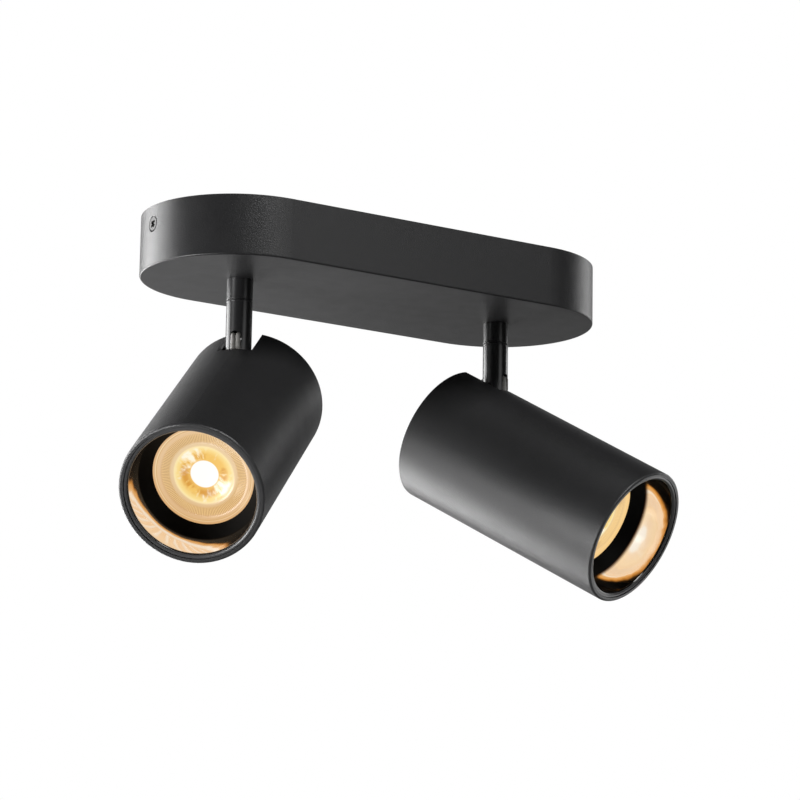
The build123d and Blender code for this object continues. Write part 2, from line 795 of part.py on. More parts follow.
def make_tilt_bracket(frame):
    """Cast angle on the rear cap, with the tongue that the pivot pin passes through."""
    flange_low = bracket_top - bracket_flange_depth
    plate_end = cap_face + bracket_plate_length
    tongue_root = bracket_top - bracket_thickness
    half = bracket_screw_spacing / 2
    with BuildPart() as bracket:
        with BuildSketch(frame.profile) as angle:
            with BuildLine():
                Polyline(
                    (cap_face, flange_low),
                    (cap_face, bracket_top),
                    (plate_end, bracket_top),
                    (plate_end, bracket_top - bracket_thickness),
                    (cap_face + bracket_thickness, bracket_top - bracket_thickness),
                    (cap_face + bracket_thickness, flange_low),
                    close=True,
                )
            make_face()
            inner_corner = (cap_face + bracket_thickness, bracket_top - bracket_thickness)
            fillet(angle.vertices().sort_by_distance(inner_corner)[0], bracket_fillet)
        extrude(amount=bracket_width / 2, both=True)
        with BuildSketch(frame.profile):
            with Locations((pivot_setback, pivot_offset)):
                Circle(tongue_eye_radius)
            with Locations((pivot_setback, (pivot_offset + tongue_root) / 2)):
                Rectangle(2 * tongue_eye_radius, pivot_offset - tongue_root)
        extrude(amount=tongue_thickness / 2, both=True)
        with BuildSketch(frame.tilting):
            Circle(pivot_pin_radius + running_clearance)
        extrude(amount=tongue_thickness, both=True, mode=Mode.SUBTRACT)
        with BuildSketch(frame.head.offset(cap_face)):
            with Locations((bracket_screw_line, -half), (bracket_screw_line, half)):
                Circle(cap_screw_radius + screw_clearance)
        extrude(amount=bracket_thickness, mode=Mode.SUBTRACT)
    save(bracket, f"tilt_bracket_{frame.side}")


def make_holder_bracket(frame):
    """Bent strip from the rear cap to the back of the lamp holder, and the two screws into the holder."""
    leg_outer = -holder_strip_leg
    leg_inner = leg_outer + holder_strip_thickness
    foot_end = leg_outer + holder_strip_foot
    plate_back = holder_setback - holder_strip_thickness
    half = bracket_screw_spacing / 2
    holder_screws_at = [(-holder_screw_spacing / 2, 0), (holder_screw_spacing / 2, 0)]
    with BuildPart() as bracket:
        with BuildSketch(frame.profile):
            with BuildLine():
                Polyline(
                    (cap_face, foot_end),
                    (cap_face, leg_outer),
                    (holder_setback, leg_outer),
                    (holder_setback, holder_strip_reach),
                    (plate_back, holder_strip_reach),
                    (plate_back, leg_inner),
                    (cap_face + holder_strip_thickness, leg_inner),
                    (cap_face + holder_strip_thickness, foot_end),
                    close=True,
                )
            make_face()
        extrude(amount=holder_strip_width / 2, both=True)
        with BuildSketch(frame.head.offset(cap_face)):
            with Locations((-holder_foot_screw, -half), (-holder_foot_screw, half)):
                Circle(cap_screw_radius + screw_clearance)
        extrude(amount=holder_strip_thickness, mode=Mode.SUBTRACT)
        with BuildSketch(frame.head.offset(plate_back)):
            with Locations(*holder_screws_at):
                Circle(cap_screw_radius + screw_clearance)
        extrude(amount=holder_strip_thickness, mode=Mode.SUBTRACT)
    save(bracket, f"holder_bracket_{frame.side}")

    with BuildPart() as screws:
        with BuildSketch(frame.head.offset(plate_back - cap_screw_head_height)):
            with Locations(*holder_screws_at):
                Circle(cap_screw_head_radius)
        extrude(amount=cap_screw_head_height)
        with BuildSketch(frame.head.offset(plate_back)):
            with Locations(*holder_screws_at):
                Circle(cap_screw_radius)
        extrude(amount=holder_screw_length)
    save(screws, f"holder_screws_{frame.side}")


def make_lamp_holder(frame):
    """Ceramic holder with two pin sockets in front, and screw and lead holes behind."""
    pin_line = lamp_pin_spacing / 2
    pin_points = [(0, -pin_line), (0, pin_line)]
    screw_points = [(-holder_screw_spacing / 2, 0), (holder_screw_spacing / 2, 0)]
    lead_points = [(holder_lead_rise, -holder_lead_offset), (holder_lead_rise, holder_lead_offset)]
    with BuildPart() as holder:
        with BuildSketch(frame.head.offset(holder_setback)):
            Circle(holder_radius)
        extrude(amount=holder_height)
        chamfer(holder.edges().filter_by(GeomType.CIRCLE), holder_chamfer)
        with BuildSketch(frame.head.offset(holder_front)):
            with Locations(*pin_points):
                Circle(lamp_pin_radius + holder_pin_clearance)
        extrude(amount=-lamp_pin_length - holder_pin_clearance, mode=Mode.SUBTRACT)
        with BuildSketch(frame.head.offset(holder_setback)):
            with Locations(*screw_points):
                Circle(cap_screw_radius + screw_clearance)
        extrude(amount=holder_screw_length, mode=Mode.SUBTRACT)
        with BuildSketch(frame.head.offset(holder_setback)):
            with Locations(*lead_points):
                Circle(holder_lead_radius)
        extrude(amount=holder_lead_depth, mode=Mode.SUBTRACT)
    save(holder, f"lamp_holder_{frame.side}")


def make_lamp(frame):
    """Reflector lamp: body, base pins, LED board and a clear optic."""
    seat = lamp_front - led_depth
    lens_radius = lamp_radius - lamp_bezel
    ledge = lens_radius - lamp_bezel
    board_wall = led_board_radius + pass_gap
    waist = lamp_base + lamp_base_length
    rim_back = lamp_front - lamp_rim_length
    with BuildPart() as body:
        with BuildSketch(frame.profile):
            with BuildLine():
                Polyline(
                    (lamp_base, 0),
                    (lamp_base, lamp_base_radius),
                    (waist, lamp_base_radius),
                    (waist + lamp_shoulder_length, lamp_shoulder_radius),
                    (waist + lamp_neck_length, lamp_neck_radius),
                    (rim_back - lamp_rim_run, lamp_radius - lamp_rim_step),
                    (rim_back, lamp_radius),
                    (lamp_front, lamp_radius),
                    (lamp_front, lens_radius),
                    (lamp_front - lens_thickness, lens_radius),
                    (lamp_front - lens_thickness, ledge),
                    (seat + led_board_thickness, board_wall),
                    (seat, board_wall),
                    (seat, 0),
                    close=True,
                )
            make_face()
        revolve(axis=frame.head_axis)
    save(body, f"lamp_body_{frame.side}")

    pin_line = lamp_pin_spacing / 2
    with BuildPart() as pins:
        with BuildSketch(frame.head.offset(lamp_base)):
            with Locations((0, -pin_line), (0, pin_line)):
                Circle(lamp_pin_neck_radius)
        extrude(amount=-lamp_pin_neck_length)
        with BuildSketch(frame.head.offset(lamp_base - lamp_pin_neck_length)):
            with Locations((0, -pin_line), (0, pin_line)):
                Circle(lamp_pin_radius)
        extrude(amount=lamp_pin_neck_length - lamp_pin_length)
    save(pins, f"lamp_pins_{frame.side}")

    board_top = seat + led_board_thickness
    with BuildPart() as led:
        with BuildSketch(frame.head.offset(seat)):
            Circle(led_board_radius)
        extrude(amount=led_board_thickness)
        with BuildSketch(frame.head.offset(board_top)):
            Circle(led_radius)
        extrude(amount=led_height)
    save(led, f"lamp_led_{frame.side}")

    lens_back = lamp_front - lens_thickness
    core_end = lamp_front - lens_core_depth
    with BuildPart() as lens:
        with BuildSketch(frame.profile):
            with BuildLine():
                Polyline(
                    (lamp_front, 0),
                    (lamp_front, lens_radius - screw_clearance),
                    (lens_back, lens_radius - screw_clearance),
                    (lens_back, lens_core_radius),
                    (core_end, lens_core_end_radius),
                    (core_end, lens_cup_radius),
                    (core_end + lens_cup_depth, lens_cup_radius),
                    (core_end + lens_cup_depth, 0),
                    close=True,
                )
            make_face()
        revolve(axis=frame.head_axis)
    save(lens, f"lamp_lens_{frame.side}")


def make_glare_ring(frame):
    """Tapered insert in the mouth: a rounded lip, a cone and a sloping seat round the lamp's aperture."""
    lip_front = head_length - glare_recess
    lip_back = lip_front - glare_lip_radius
    seat_back = lamp_front + pass_gap
    seat_edge = seat_back + glare_seat_edge
    seat_front = seat_edge + glare_seat_rise
    band_back = lip_front - glare_band_length
    taper = (glare_mouth_radius - glare_base_radius) / (lip_back - seat_front)
    outer_base_radius = glare_base_radius + glare_wall
    shoulder_radius = outer_base_radius + taper * (band_back - seat_front)
    with BuildPart() as ring:
        with BuildSketch(frame.profile):
            with BuildLine():
                Polyline(
                    (lip_front, glare_mouth_radius + glare_lip_radius),
                    (lip_front, glare_band_radius),
                    (band_back, glare_band_radius),
                    (band_back, shoulder_radius),
                    (seat_front, outer_base_radius),
                    (seat_back, outer_base_radius),
                    (seat_back, glare_aperture_radius),
                    (seat_edge, glare_aperture_radius),
                    (seat_front, glare_base_radius),
                    (lip_back, glare_mouth_radius),
                )
                RadiusArc(
                    (lip_back, glare_mouth_radius),
                    (lip_front, glare_mouth_radius + glare_lip_radius),
                    -glare_lip_radius,
                )
            make_face()
        revolve(axis=frame.head_axis)
    save(ring, f"glare_ring_{frame.side}")


os.makedirs("parts", exist_ok=True)

make_canopy_cover()
make_canopy_screws()
make_ceiling_bracket()
make_terminal_block()
make_earth_bond()

left_spot = SpotFrame("left", -stem_offset, left_yaw, left_tilt)
right_spot = SpotFrame("right", stem_offset, right_yaw, right_tilt)
make_canopy_leads(left_spot, high_pole=-1, low_pole=1)
make_canopy_leads(right_spot, high_pole=1, low_pole=-1)

for spot in (left_spot, right_spot):
    make_collar(spot)
    make_swivel_stem(spot)
    make_swivel_hardware(spot)
    make_lamp_leads(spot)
    make_head_tube(spot)
    make_rear_cap(spot)
    make_tilt_bracket(spot)
    make_holder_bracket(spot)
    make_lamp_holder(spot)
    make_lamp(spot)
    make_glare_ring(spot)
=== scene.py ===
# %% [markdown]
# # A twin spotlight, dressed for its portrait
# The light is a black round-ended canopy with two short stems, and each stem carries a tubular head with a
# lit reflector lamp. Its solids come ready made and in place, so this lesson is about looks: a finish for
# every surface, and new surfaces where the solids are too plain. Those are the lamp's optic, the mirror
# cone in the mouth, the rolled edges at the swivel, the screws and the leads.

# %% Load the solids
import json
import math

import bmesh
import bpy
import numpy as np
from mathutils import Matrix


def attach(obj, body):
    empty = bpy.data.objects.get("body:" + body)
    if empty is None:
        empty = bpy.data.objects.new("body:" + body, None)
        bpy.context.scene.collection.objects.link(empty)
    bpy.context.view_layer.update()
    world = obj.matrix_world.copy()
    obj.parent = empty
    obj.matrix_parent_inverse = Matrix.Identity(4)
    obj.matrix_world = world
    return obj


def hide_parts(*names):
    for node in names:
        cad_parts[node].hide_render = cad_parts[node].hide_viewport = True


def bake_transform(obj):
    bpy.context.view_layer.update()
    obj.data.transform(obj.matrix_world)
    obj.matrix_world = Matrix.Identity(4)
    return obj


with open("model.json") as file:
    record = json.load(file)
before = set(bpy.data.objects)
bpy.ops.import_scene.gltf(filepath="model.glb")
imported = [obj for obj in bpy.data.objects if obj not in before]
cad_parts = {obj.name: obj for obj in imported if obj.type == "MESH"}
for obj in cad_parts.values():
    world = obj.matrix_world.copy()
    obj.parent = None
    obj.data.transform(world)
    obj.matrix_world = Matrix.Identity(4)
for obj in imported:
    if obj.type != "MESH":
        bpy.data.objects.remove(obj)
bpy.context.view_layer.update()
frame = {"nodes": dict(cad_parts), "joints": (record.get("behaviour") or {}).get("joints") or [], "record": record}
joints = {joint["name"]: joint for joint in frame["joints"]}

# %% [markdown]
# ## Small tools
# Three helpers carry the whole lesson. One turns a colour written as sRGB hex, the way a paint chart gives
# it, into the linear numbers that a renderer mixes. One adds a shader node with its settings and links.
# One starts a material: constant values go straight onto the shader's own sockets.

# %% Helpers for colours and shaders
MM = 0.001
UP = np.array([0.0, 0.0, 1.0])


def linear(hex_colour):
    """sRGB hex to linear red, green, blue and alpha: the low part is a straight line, the rest a power."""
    srgb = np.array([int(hex_colour[i : i + 2], 16) for i in (1, 3, 5)]) / 255
    rgb = np.where(srgb <= 0.04045, srgb / 12.92, ((srgb + 0.055) / 1.055) ** 2.4)
    return (*rgb.tolist(), 1.0)


def add_node(tree, kind, values=None, **settings):
    """Add one shader node. settings are its properties, and values go to its inputs: a socket is linked."""
    made = tree.nodes.new("ShaderNode" + kind)
    for name, value in settings.items():
        setattr(made, name, value)
    for name, value in (values or {}).items():
        if isinstance(value, bpy.types.NodeSocket):
            tree.links.new(value, made.inputs[name])
        else:
            made.inputs[name].default_value = value
    return made


def new_material(name, **sockets):
    """A material with one Principled shader. Socket names have underscores for spaces."""
    material = bpy.data.materials.new(name)
    material.use_nodes = True
    shader = material.node_tree.nodes["Principled BSDF"]
    for socket, value in sockets.items():
        shader.inputs[socket.replace("_", " ")].default_value = value
    return material, material.node_tree, shader


print("middle grey in linear light:", np.round(linear("#808080"), 3))

# %% [markdown]
# ## The camera
# The photograph looks up at the light from a little below, through a long lens, so its edges hardly
# converge. Three angles and a distance say where the camera stands: how far round the light, how far below
# it, and a slight roll. The lens is given for a 36 mm sensor.

# %% Camera
CAMERA_AZIMUTH = math.radians(-32.088)
CAMERA_ELEVATION = math.radians(-12.906)
CAMERA_ROLL = math.radians(0.98)
CAMERA_DISTANCE = 1708.247 * MM
CAMERA_TARGET = np.array([28.196, 18.281, -65.765]) * MM
LENS_LENGTH = 165.95  # millimetres, as the camera's own settings are
SENSOR_WIDTH = 36.0
NEAREST_SEEN = 0.05
FURTHEST_SEEN = 50.0

camera_back = np.array(
    [
        math.sin(CAMERA_AZIMUTH) * math.cos(CAMERA_ELEVATION),
        -math.cos(CAMERA_AZIMUTH) * math.cos(CAMERA_ELEVATION),
        math.sin(CAMERA_ELEVATION),
    ]
)
level_right = np.cross(UP, camera_back)
level_right /= np.linalg.norm(level_right)
level_up = np.cross(camera_back, level_right)
camera_right = math.cos(CAMERA_ROLL) * level_right + math.sin(CAMERA_ROLL) * level_up
camera_up = np.cross(camera_back, camera_right)

camera_data = bpy.data.cameras.new("photo_camera")
camera_data.lens = LENS_LENGTH
camera_data.sensor_width = SENSOR_WIDTH
camera_data.clip_start = NEAREST_SEEN
camera_data.clip_end = FURTHEST_SEEN
camera = bpy.data.objects.new("photo_camera", camera_data)
bpy.context.scene.collection.objects.link(camera)
camera_matrix = np.eye(4)
camera_matrix[:3, 0] = camera_right
camera_matrix[:3, 1] = camera_up
camera_matrix[:3, 2] = camera_back
camera_matrix[:3, 3] = CAMERA_TARGET + CAMERA_DISTANCE * camera_back
camera.matrix_world = camera_matrix.T.tolist()
bpy.context.scene.camera = camera
bpy.context.scene.view_settings.view_transform = "Standard"
print("camera at", np.round(camera_matrix[:3, 3], 3))

# %% [markdown]
# ## The studio
# Black things are drawn by what they reflect. Here a white sweep stands behind the light and gives the
# round ends and the tubes their pale edges, while the room on the camera's side stays dark and keeps the
# faces black. So the world is white to the camera, and to mirrors it is pale only towards the sweep.

# %% World
SWEEP_WHITE = 1.0
MIRRORED_SWEEP = 0.33
ROOM_DARK = 0.0
SWEEP_EDGE = 0.15  # cosines of the angle from the middle of the sweep
SWEEP_FULL = 0.75
SWEEP_TOP_START = 0.5  # sines of the angle above the horizon
SWEEP_TOP_END = 0.85

world = bpy.data.worlds.new("studio")
bpy.context.scene.world = world
world.use_nodes = True
sky = world.node_tree
sky.nodes.clear()
ray = add_node(sky, "LightPath")
direction = add_node(sky, "TexCoord")
facing = add_node(
    sky,
    "VectorMath",
    {0: direction.outputs["Generated"], 1: (-camera_back).tolist()},
    operation="DOT_PRODUCT",
)
sweep = add_node(
    sky,
    "MapRange",
    {
        "Value": facing.outputs["Value"],
        "From Min": SWEEP_EDGE,
        "From Max": SWEEP_FULL,
        "To Min": ROOM_DARK,
        "To Max": MIRRORED_SWEEP,
    },
    interpolation_type="SMOOTHSTEP",
)
height = add_node(sky, "SeparateXYZ", {"Vector": direction.outputs["Generated"]})
below_top = add_node(
    sky,
    "MapRange",
    {"Value": height.outputs["Z"], "From Min": SWEEP_TOP_END, "From Max": SWEEP_TOP_START},
    interpolation_type="SMOOTHSTEP",
)
mirrored = add_node(
    sky, "Math", {0: sweep.outputs["Result"], 1: below_top.outputs["Result"]}, operation="MULTIPLY"
)
seen = add_node(
    sky,
    "Math",
    {0: ray.outputs["Is Camera Ray"], 1: ray.outputs["Is Transmission Ray"]},
    operation="MAXIMUM",
)
room = add_node(
    sky, "Mix", {"A": ROOM_DARK, "B": mirrored.outputs["Value"], "Factor": ray.outputs["Is Glossy Ray"]}
)
level = add_node(
    sky, "Mix", {"A": room.outputs["Result"], "B": SWEEP_WHITE, "Factor": seen.outputs["Value"]}
)
background = add_node(
    sky, "Background", {"Color": linear("#ffffff"), "Strength": level.outputs["Result"]}
)
add_node(sky, "OutputWorld", {"Surface": background.outputs["Background"]})
print("white sweep behind, seen by mirrors at", MIRRORED_SWEEP, "of its light, and a dark room in front")

# %% [markdown]
# ## The floor
# A sheet of pale paper lies far below, so that a view from above meets paper and not a void. It glows to
# the camera alone, and so it stays pale without throwing light up onto the black undersides.

# %% Floor
FLOOR_DROP = 2.2
FLOOR_SIZE = 8.0
FLOOR_GLOW = 0.85
half = FLOOR_SIZE / 2
outline = ((-half, -half), (half, -half), (half, half), (-half, half))
corners = [(x, y, -FLOOR_DROP) for x, y in outline]
floor_mesh = bpy.data.meshes.new("floor")
floor_mesh.from_pydata(corners, [], [(0, 1, 2, 3)])
floor = bpy.data.objects.new("floor", floor_mesh)
bpy.context.scene.collection.objects.link(floor)
paper, paper_tree, paper_shader = new_material(
    "pale_paper_floor", Base_Color=linear("#f2f2f0"), Roughness=0.9, Emission_Color=linear("#ffffff")
)
floor_ray = add_node(paper_tree, "LightPath")
floor_seen = add_node(
    paper_tree,
    "Math",
    {0: floor_ray.outputs["Is Camera Ray"], 1: floor_ray.outputs["Is Transmission Ray"]},
    operation="MAXIMUM",
)
floor_share = add_node(
    paper_tree, "Math", {0: floor_seen.outputs["Value"], 1: FLOOR_GLOW}, operation="MULTIPLY"
)
paper_tree.links.new(floor_share.outputs["Value"], paper_shader.inputs["Emission Strength"])
floor_mesh.materials.append(paper)
print("floor", FLOOR_SIZE, "m wide,", FLOOR_DROP, "m below the ceiling plane")

# %% [markdown]
# ## Softboxes
# A softbox is a lamp behind white cloth, and an area light stands for it. Each one is placed where a bright
# band in the photograph says that it stood. The camera does not see them, but the black surfaces do.

# %% Softboxes
# Each is placed by the direction that it shines from: degrees round the light, with 0 at the sweep behind
# it and 90 on the camera's right, and degrees above the horizon. Lengths are in metres.
SOFTBOX_AIM = np.array([0.0, 0.0, -70.0]) * MM
SOFTBOXES = {
    "back_low": {"round": -50, "above": -20, "away": 1.0, "wide": 0.8, "tall": 0.4, "watts": 12.0},
    "back_near": {"round": -16, "above": -12, "away": 0.7, "wide": 0.36, "tall": 0.3, "watts": 0.07},
    "back_left_high": {"round": -60, "above": 35, "away": 1.6, "wide": 0.6, "tall": 0.4, "watts": 9.0},
    "back_left": {"round": -70, "above": 10, "away": 1.6, "wide": 1.3, "tall": 0.6, "watts": 26.0},
    "front_left_low": {"round": -120, "above": -20, "away": 0.95, "wide": 0.36, "tall": 0.36, "watts": 9.2},
    "back_right": {"round": 50, "above": 12, "away": 1.6, "wide": 0.6, "tall": 0.5, "watts": 3.4},
    "right_low": {"round": 58, "above": -18, "away": 1.6, "wide": 0.5, "tall": 0.5, "watts": 2.5},
    "front_right": {"round": 120, "above": 10, "away": 1.6, "wide": 0.6, "tall": 0.6, "watts": 0.35},
    "front_near": {"round": 132, "above": 12, "away": 1.2, "wide": 0.5, "tall": 0.9, "watts": 2.2},
    "front_high": {"round": 150, "above": 45, "away": 1.6, "wide": 0.6, "tall": 0.6, "watts": 17.8},
}
sweep_direction = -camera_back * np.array([1.0, 1.0, 0.0])
sweep_direction /= np.linalg.norm(sweep_direction)
side_direction = np.cross(sweep_direction, UP)
for name, box in SOFTBOXES.items():
    turn = math.radians(box["round"])
    rise = math.radians(box["above"])
    flat = math.cos(turn) * sweep_direction + math.sin(turn) * side_direction
    shine = math.cos(rise) * flat + math.sin(rise) * UP
    across = np.cross(UP, shine)
    across /= np.linalg.norm(across)
    lamp_data = bpy.data.lights.new(name, "AREA")
    lamp_data.shape = "RECTANGLE"
    lamp_data.size = box["wide"]
    lamp_data.size_y = box["tall"]
    lamp_data.energy = box["watts"]
    lamp = bpy.data.objects.new(name, lamp_data)
    bpy.context.scene.collection.objects.link(lamp)
    place = np.eye(4)
    place[:3, 0] = across
    place[:3, 1] = np.cross(shine, across)
    place[:3, 2] = shine
    place[:3, 3] = SOFTBOX_AIM + box["away"] * shine
    lamp.matrix_world = place.T.tolist()
    lamp.visible_camera = False
print("softboxes:", ", ".join(SOFTBOXES))

# %% [markdown]
# ## Powder coat
# The canopy and the heads have a fine-texture powder coat: plastic powder that is sprayed on and melted in
# an oven, where it shrinks into a skin of tiny bumps. To the eye it is a deep soft black that breaks a
# highlight into grain. A bumpy noise in real millimetres makes the grain, and a second, broader noise
# varies the gloss.

# %% Powder coat on the canopy and the heads
GRAIN = 0.5 * MM  # a little coarser than the real grain, so that it shows
GRAIN_HEIGHT = 0.115 * MM
CLOUD = 9.0 * MM
CLOUD_LOW = 0.3  # the noise seldom goes outside these two values
CLOUD_HIGH = 0.7


def powder_coat(name, deep, light, gloss):
    """Black coat: colour between two near blacks, gloss that drifts in clouds, and a bump of fine grain."""
    material, tree, shader = new_material(name, Specular_IOR_Level=0.42, IOR=1.5)
    place = add_node(tree, "TexCoord").outputs["Object"]
    grain = add_node(
        tree, "TexNoise", {"Vector": place, "Scale": 1 / GRAIN, "Detail": 2.0, "Roughness": 0.6}
    )
    cloud = add_node(tree, "TexNoise", {"Vector": place, "Scale": 1 / CLOUD, "Detail": 3.0})
    tone = add_node(
        tree,
        "Mix",
        {"Factor": grain.outputs["Fac"], "A": linear(deep), "B": linear(light)},
        data_type="RGBA",
    )
    shine = add_node(
        tree,
        "MapRange",
        {
            "Value": cloud.outputs["Fac"],
            "From Min": CLOUD_LOW,
            "From Max": CLOUD_HIGH,
            "To Min": gloss[0],
            "To Max": gloss[1],
        },
    )
    bump = add_node(
        tree, "Bump", {"Height": grain.outputs["Fac"], "Strength": 1.0, "Distance": GRAIN_HEIGHT}
    )
    tree.links.new(tone.outputs["Result"], shader.inputs["Base Color"])
    tree.links.new(shine.outputs["Result"], shader.inputs["Roughness"])
    tree.links.new(bump.outputs["Normal"], shader.inputs["Normal"])
    return material


canopy_coat = powder_coat("powder_coat_on_pressed_steel", "#1b1b1c", "#29292a", (0.35, 0.39))
head_coat = powder_coat("powder_coat_on_aluminium_tube", "#1a1a1b", "#282829", (0.4, 0.44))
print("coats:", canopy_coat.name, head_coat.name)

# %% [markdown]
# ## Lacquer, plastics and plated metals
# The stems are smoother than the canopy: turned steel under a satin lacquer that keeps a trace of the
# lathe, whose fine rings draw a highlight out along the stem. Hidden pieces get the finish such pieces
# have: zinc plate with its cloudy passivation, as-cast zinc, black oxide on screws, spring steel, brass,
# moulded nylon and unglazed ceramic. Each has a pattern of its own at a real size, and the gloss follows
# it.

# %% One recipe for plain finishes
PATCH_LOW = 0.25  # the noise seldom goes outside these two values
PATCH_HIGH = 0.75


def patterned(name, dark, light, size, gloss, depth, squeeze=(1.0, 1.0, 1.0), **sockets):
    """A finish whose colour and gloss wander between two values in patches of the given size, with a bump
    of the given depth. squeeze makes the patches that many times shorter along each axis."""
    material, tree, shader = new_material(name, **sockets)
    place = add_node(tree, "TexCoord").outputs["Object"]
    scaled = add_node(tree, "Mapping", {"Vector": place, "Scale": squeeze})
    noise = add_node(
        tree,
        "TexNoise",
        {"Vector": scaled.outputs["Vector"], "Scale": 1 / size, "Detail": 4.0, "Roughness": 0.55},
    )
    tone = add_node(
        tree,
        "Mix",
        {"Factor": noise.outputs["Fac"], "A": linear(dark), "B": linear(light)},
        data_type="RGBA",
    )
    shine = add_node(
        tree,
        "MapRange",
        {
            "Value": noise.outputs["Fac"],
            "From Min": PATCH_LOW,
            "From Max": PATCH_HIGH,
            "To Min": gloss[0],
            "To Max": gloss[1],
        },
    )
    bump = add_node(tree, "Bump", {"Height": noise.outputs["Fac"], "Strength": 0.5, "Distance": depth})
    tree.links.new(tone.outputs["Result"], shader.inputs["Base Color"])
    tree.links.new(shine.outputs["Result"], shader.inputs["Roughness"])
    tree.links.new(bump.outputs["Normal"], shader.inputs["Normal"])
    return material


print("patches of a plain finish run from", PATCH_LOW, "to", PATCH_HIGH, "of the noise")

# %% Plain finishes
TURNED = (1.0, 1.0, 6.0)  # flat patches, as rings of the lathe
ROLLED = (1.0, 3.0, 1.0)  # long patches, as rolling leaves them

# Deep satin black whose turning rings draw a highlight out up and down.
stem_lacquer = patterned(
    "satin_lacquer_on_turned_steel",
    "#232324",
    "#2d2d2e",
    0.9 * MM,
    (0.31, 0.36),
    0.004 * MM,
    TURNED,
    IOR=1.5,
    Anisotropic=0.75,
    Anisotropic_Rotation=0.25,
)
# Black moulding painted dark grey with a soft shine: the grey is a painted highlight, which sets the lip off from
# the cone.
glare_lip = patterned(
    "satin_black_moulding", "#3c3c3d", "#474748", 0.5 * MM, (0.3, 0.38), 0.01 * MM, IOR=1.5
)
# Black with small sharp highlights.
lip_edge = patterned(
    "polished_black_moulding", "#080808", "#0c0c0c", 3.0 * MM, (0.07, 0.12), 0.002 * MM, IOR=1.5
)
# Black that hardly reflects.
glare_seat = patterned(
    "matt_black_moulding", "#050505", "#080808", 0.5 * MM, (0.45, 0.55), 0.01 * MM, Specular_IOR_Level=0.08
)
# Dull black with the fine grain of a mould.
nylon = patterned(
    "moulded_black_nylon", "#151515", "#1e1e1e", 0.4 * MM, (0.42, 0.58), 0.012 * MM, IOR=1.53
)
# Pale metal with cloudy patches.
zinc_plate = patterned(
    "bright_zinc_plate", "#a3a7a8", "#c8cac6", 5.0 * MM, (0.26, 0.42), 0.006 * MM, ROLLED, Metallic=1.0
)
# Dull grey metal with a sandy skin.
zinc_cast = patterned(
    "as_cast_zinc", "#8d8f90", "#a8a9a8", 0.8 * MM, (0.42, 0.6), 0.03 * MM, Metallic=1.0
)
# Near black with a low metal sheen.
black_oxide = patterned(
    "black_oxide_steel", "#1d1d1e", "#2c2b2a", 0.5 * MM, (0.34, 0.5), 0.008 * MM, Metallic=0.6
)
# Darker grey metal, smooth and even.
spring_steel = patterned(
    "spring_steel_strip", "#6f6d6a", "#8b8986", 1.2 * MM, (0.28, 0.4), 0.004 * MM, Metallic=1.0
)
# Yellow metal with bright rings of the lathe.
brass = patterned(
    "turned_brass", "#b08a45", "#cfae66", 1.0 * MM, (0.2, 0.34), 0.005 * MM, TURNED, Metallic=1.0
)
# Off-white with a low shine.
terminal_nylon = patterned(
    "moulded_white_polyamide", "#dcd9ce", "#ebe8df", 1.5 * MM, (0.4, 0.52), 0.01 * MM, IOR=1.53
)
# Cream and chalky, like an unglazed cup.
steatite = patterned(
    "unglazed_steatite", "#d8d3c6", "#e6e1d5", 0.7 * MM, (0.6, 0.78), 0.02 * MM, IOR=1.6
)
# Smooth white with a soft shine.
lamp_shell = patterned(
    "moulded_lamp_shell", "#d7d5cf", "#e4e2dd", 1.0 * MM, (0.3, 0.4), 0.006 * MM, IOR=1.58
)
# Warm white and even.
led_board = patterned(
    "white_led_board", "#efe6cf", "#f7f1e2", 1.2 * MM, (0.35, 0.45), 0.004 * MM, IOR=1.5
)
print("finishes so far:", len(bpy.data.materials))

# %% [markdown]
# ## Dressing the solids
# The record gives every solid a slot, such as brass or head_coat, so a table from slot to finish dresses
# them all in one loop. The optic and the leads, whose slots are not in it, get new surfaces further on.

# %% Finishes onto the solids
FINISHES = {
    "canopy_coat": canopy_coat,
    "head_coat": head_coat,
    "stem_lacquer": stem_lacquer,
    "glare_black": glare_lip,
    "black_plastic": nylon,
    "zinc_plate": zinc_plate,
    "zinc_cast": zinc_cast,
    "screw_black": black_oxide,
    "spring_steel": spring_steel,
    "brass": brass,
    "terminal_white": terminal_nylon,
    "ceramic": steatite,
    "lamp_white": lamp_shell,
    "led_board": led_board,
}
node_slot = {part["node"]: part["material_slot"] for part in frame["record"]["subparts"]}
for node_name, solid in frame["nodes"].items():
    finish = FINISHES.get(node_slot[node_name])
    if finish is not None:
        solid.data.materials.clear()
        solid.data.materials.append(finish)
print("solids with a finish:", sum(slot in FINISHES for slot in node_slot.values()))

# %% [markdown]
# ## Surfaces from grids
# A new piece is a sheet of points with rows and columns, worked out as whole arrays. Turned pieces, which
# are most of a lamp, carry a profile round an axis. Rows whose radius is zero meet in a pole, and the
# doubled points there are merged so that the skin is closed.

# %% Grid surfaces
SHARP_EDGE = math.radians(35.0)


def revolved(along, radius, origin, axis, start, columns):
    """Surface of revolution: point = origin + along * axis + radius * (cos(turn) * start + sin(turn) *
    side). along and radius have one value for each row, or one for each row and column."""
    turn = np.linspace(0.0, 2 * np.pi, columns, endpoint=False)
    side = np.cross(axis, start)
    spoke = np.cos(turn)[:, None] * start + np.sin(turn)[:, None] * side
    along = np.broadcast_to(np.reshape(along, (len(along), -1)), (len(along), columns))
    radius = np.broadcast_to(np.reshape(radius, (len(radius), -1)), (len(radius), columns))
    return origin + along[..., None] * axis + radius[..., None] * spoke


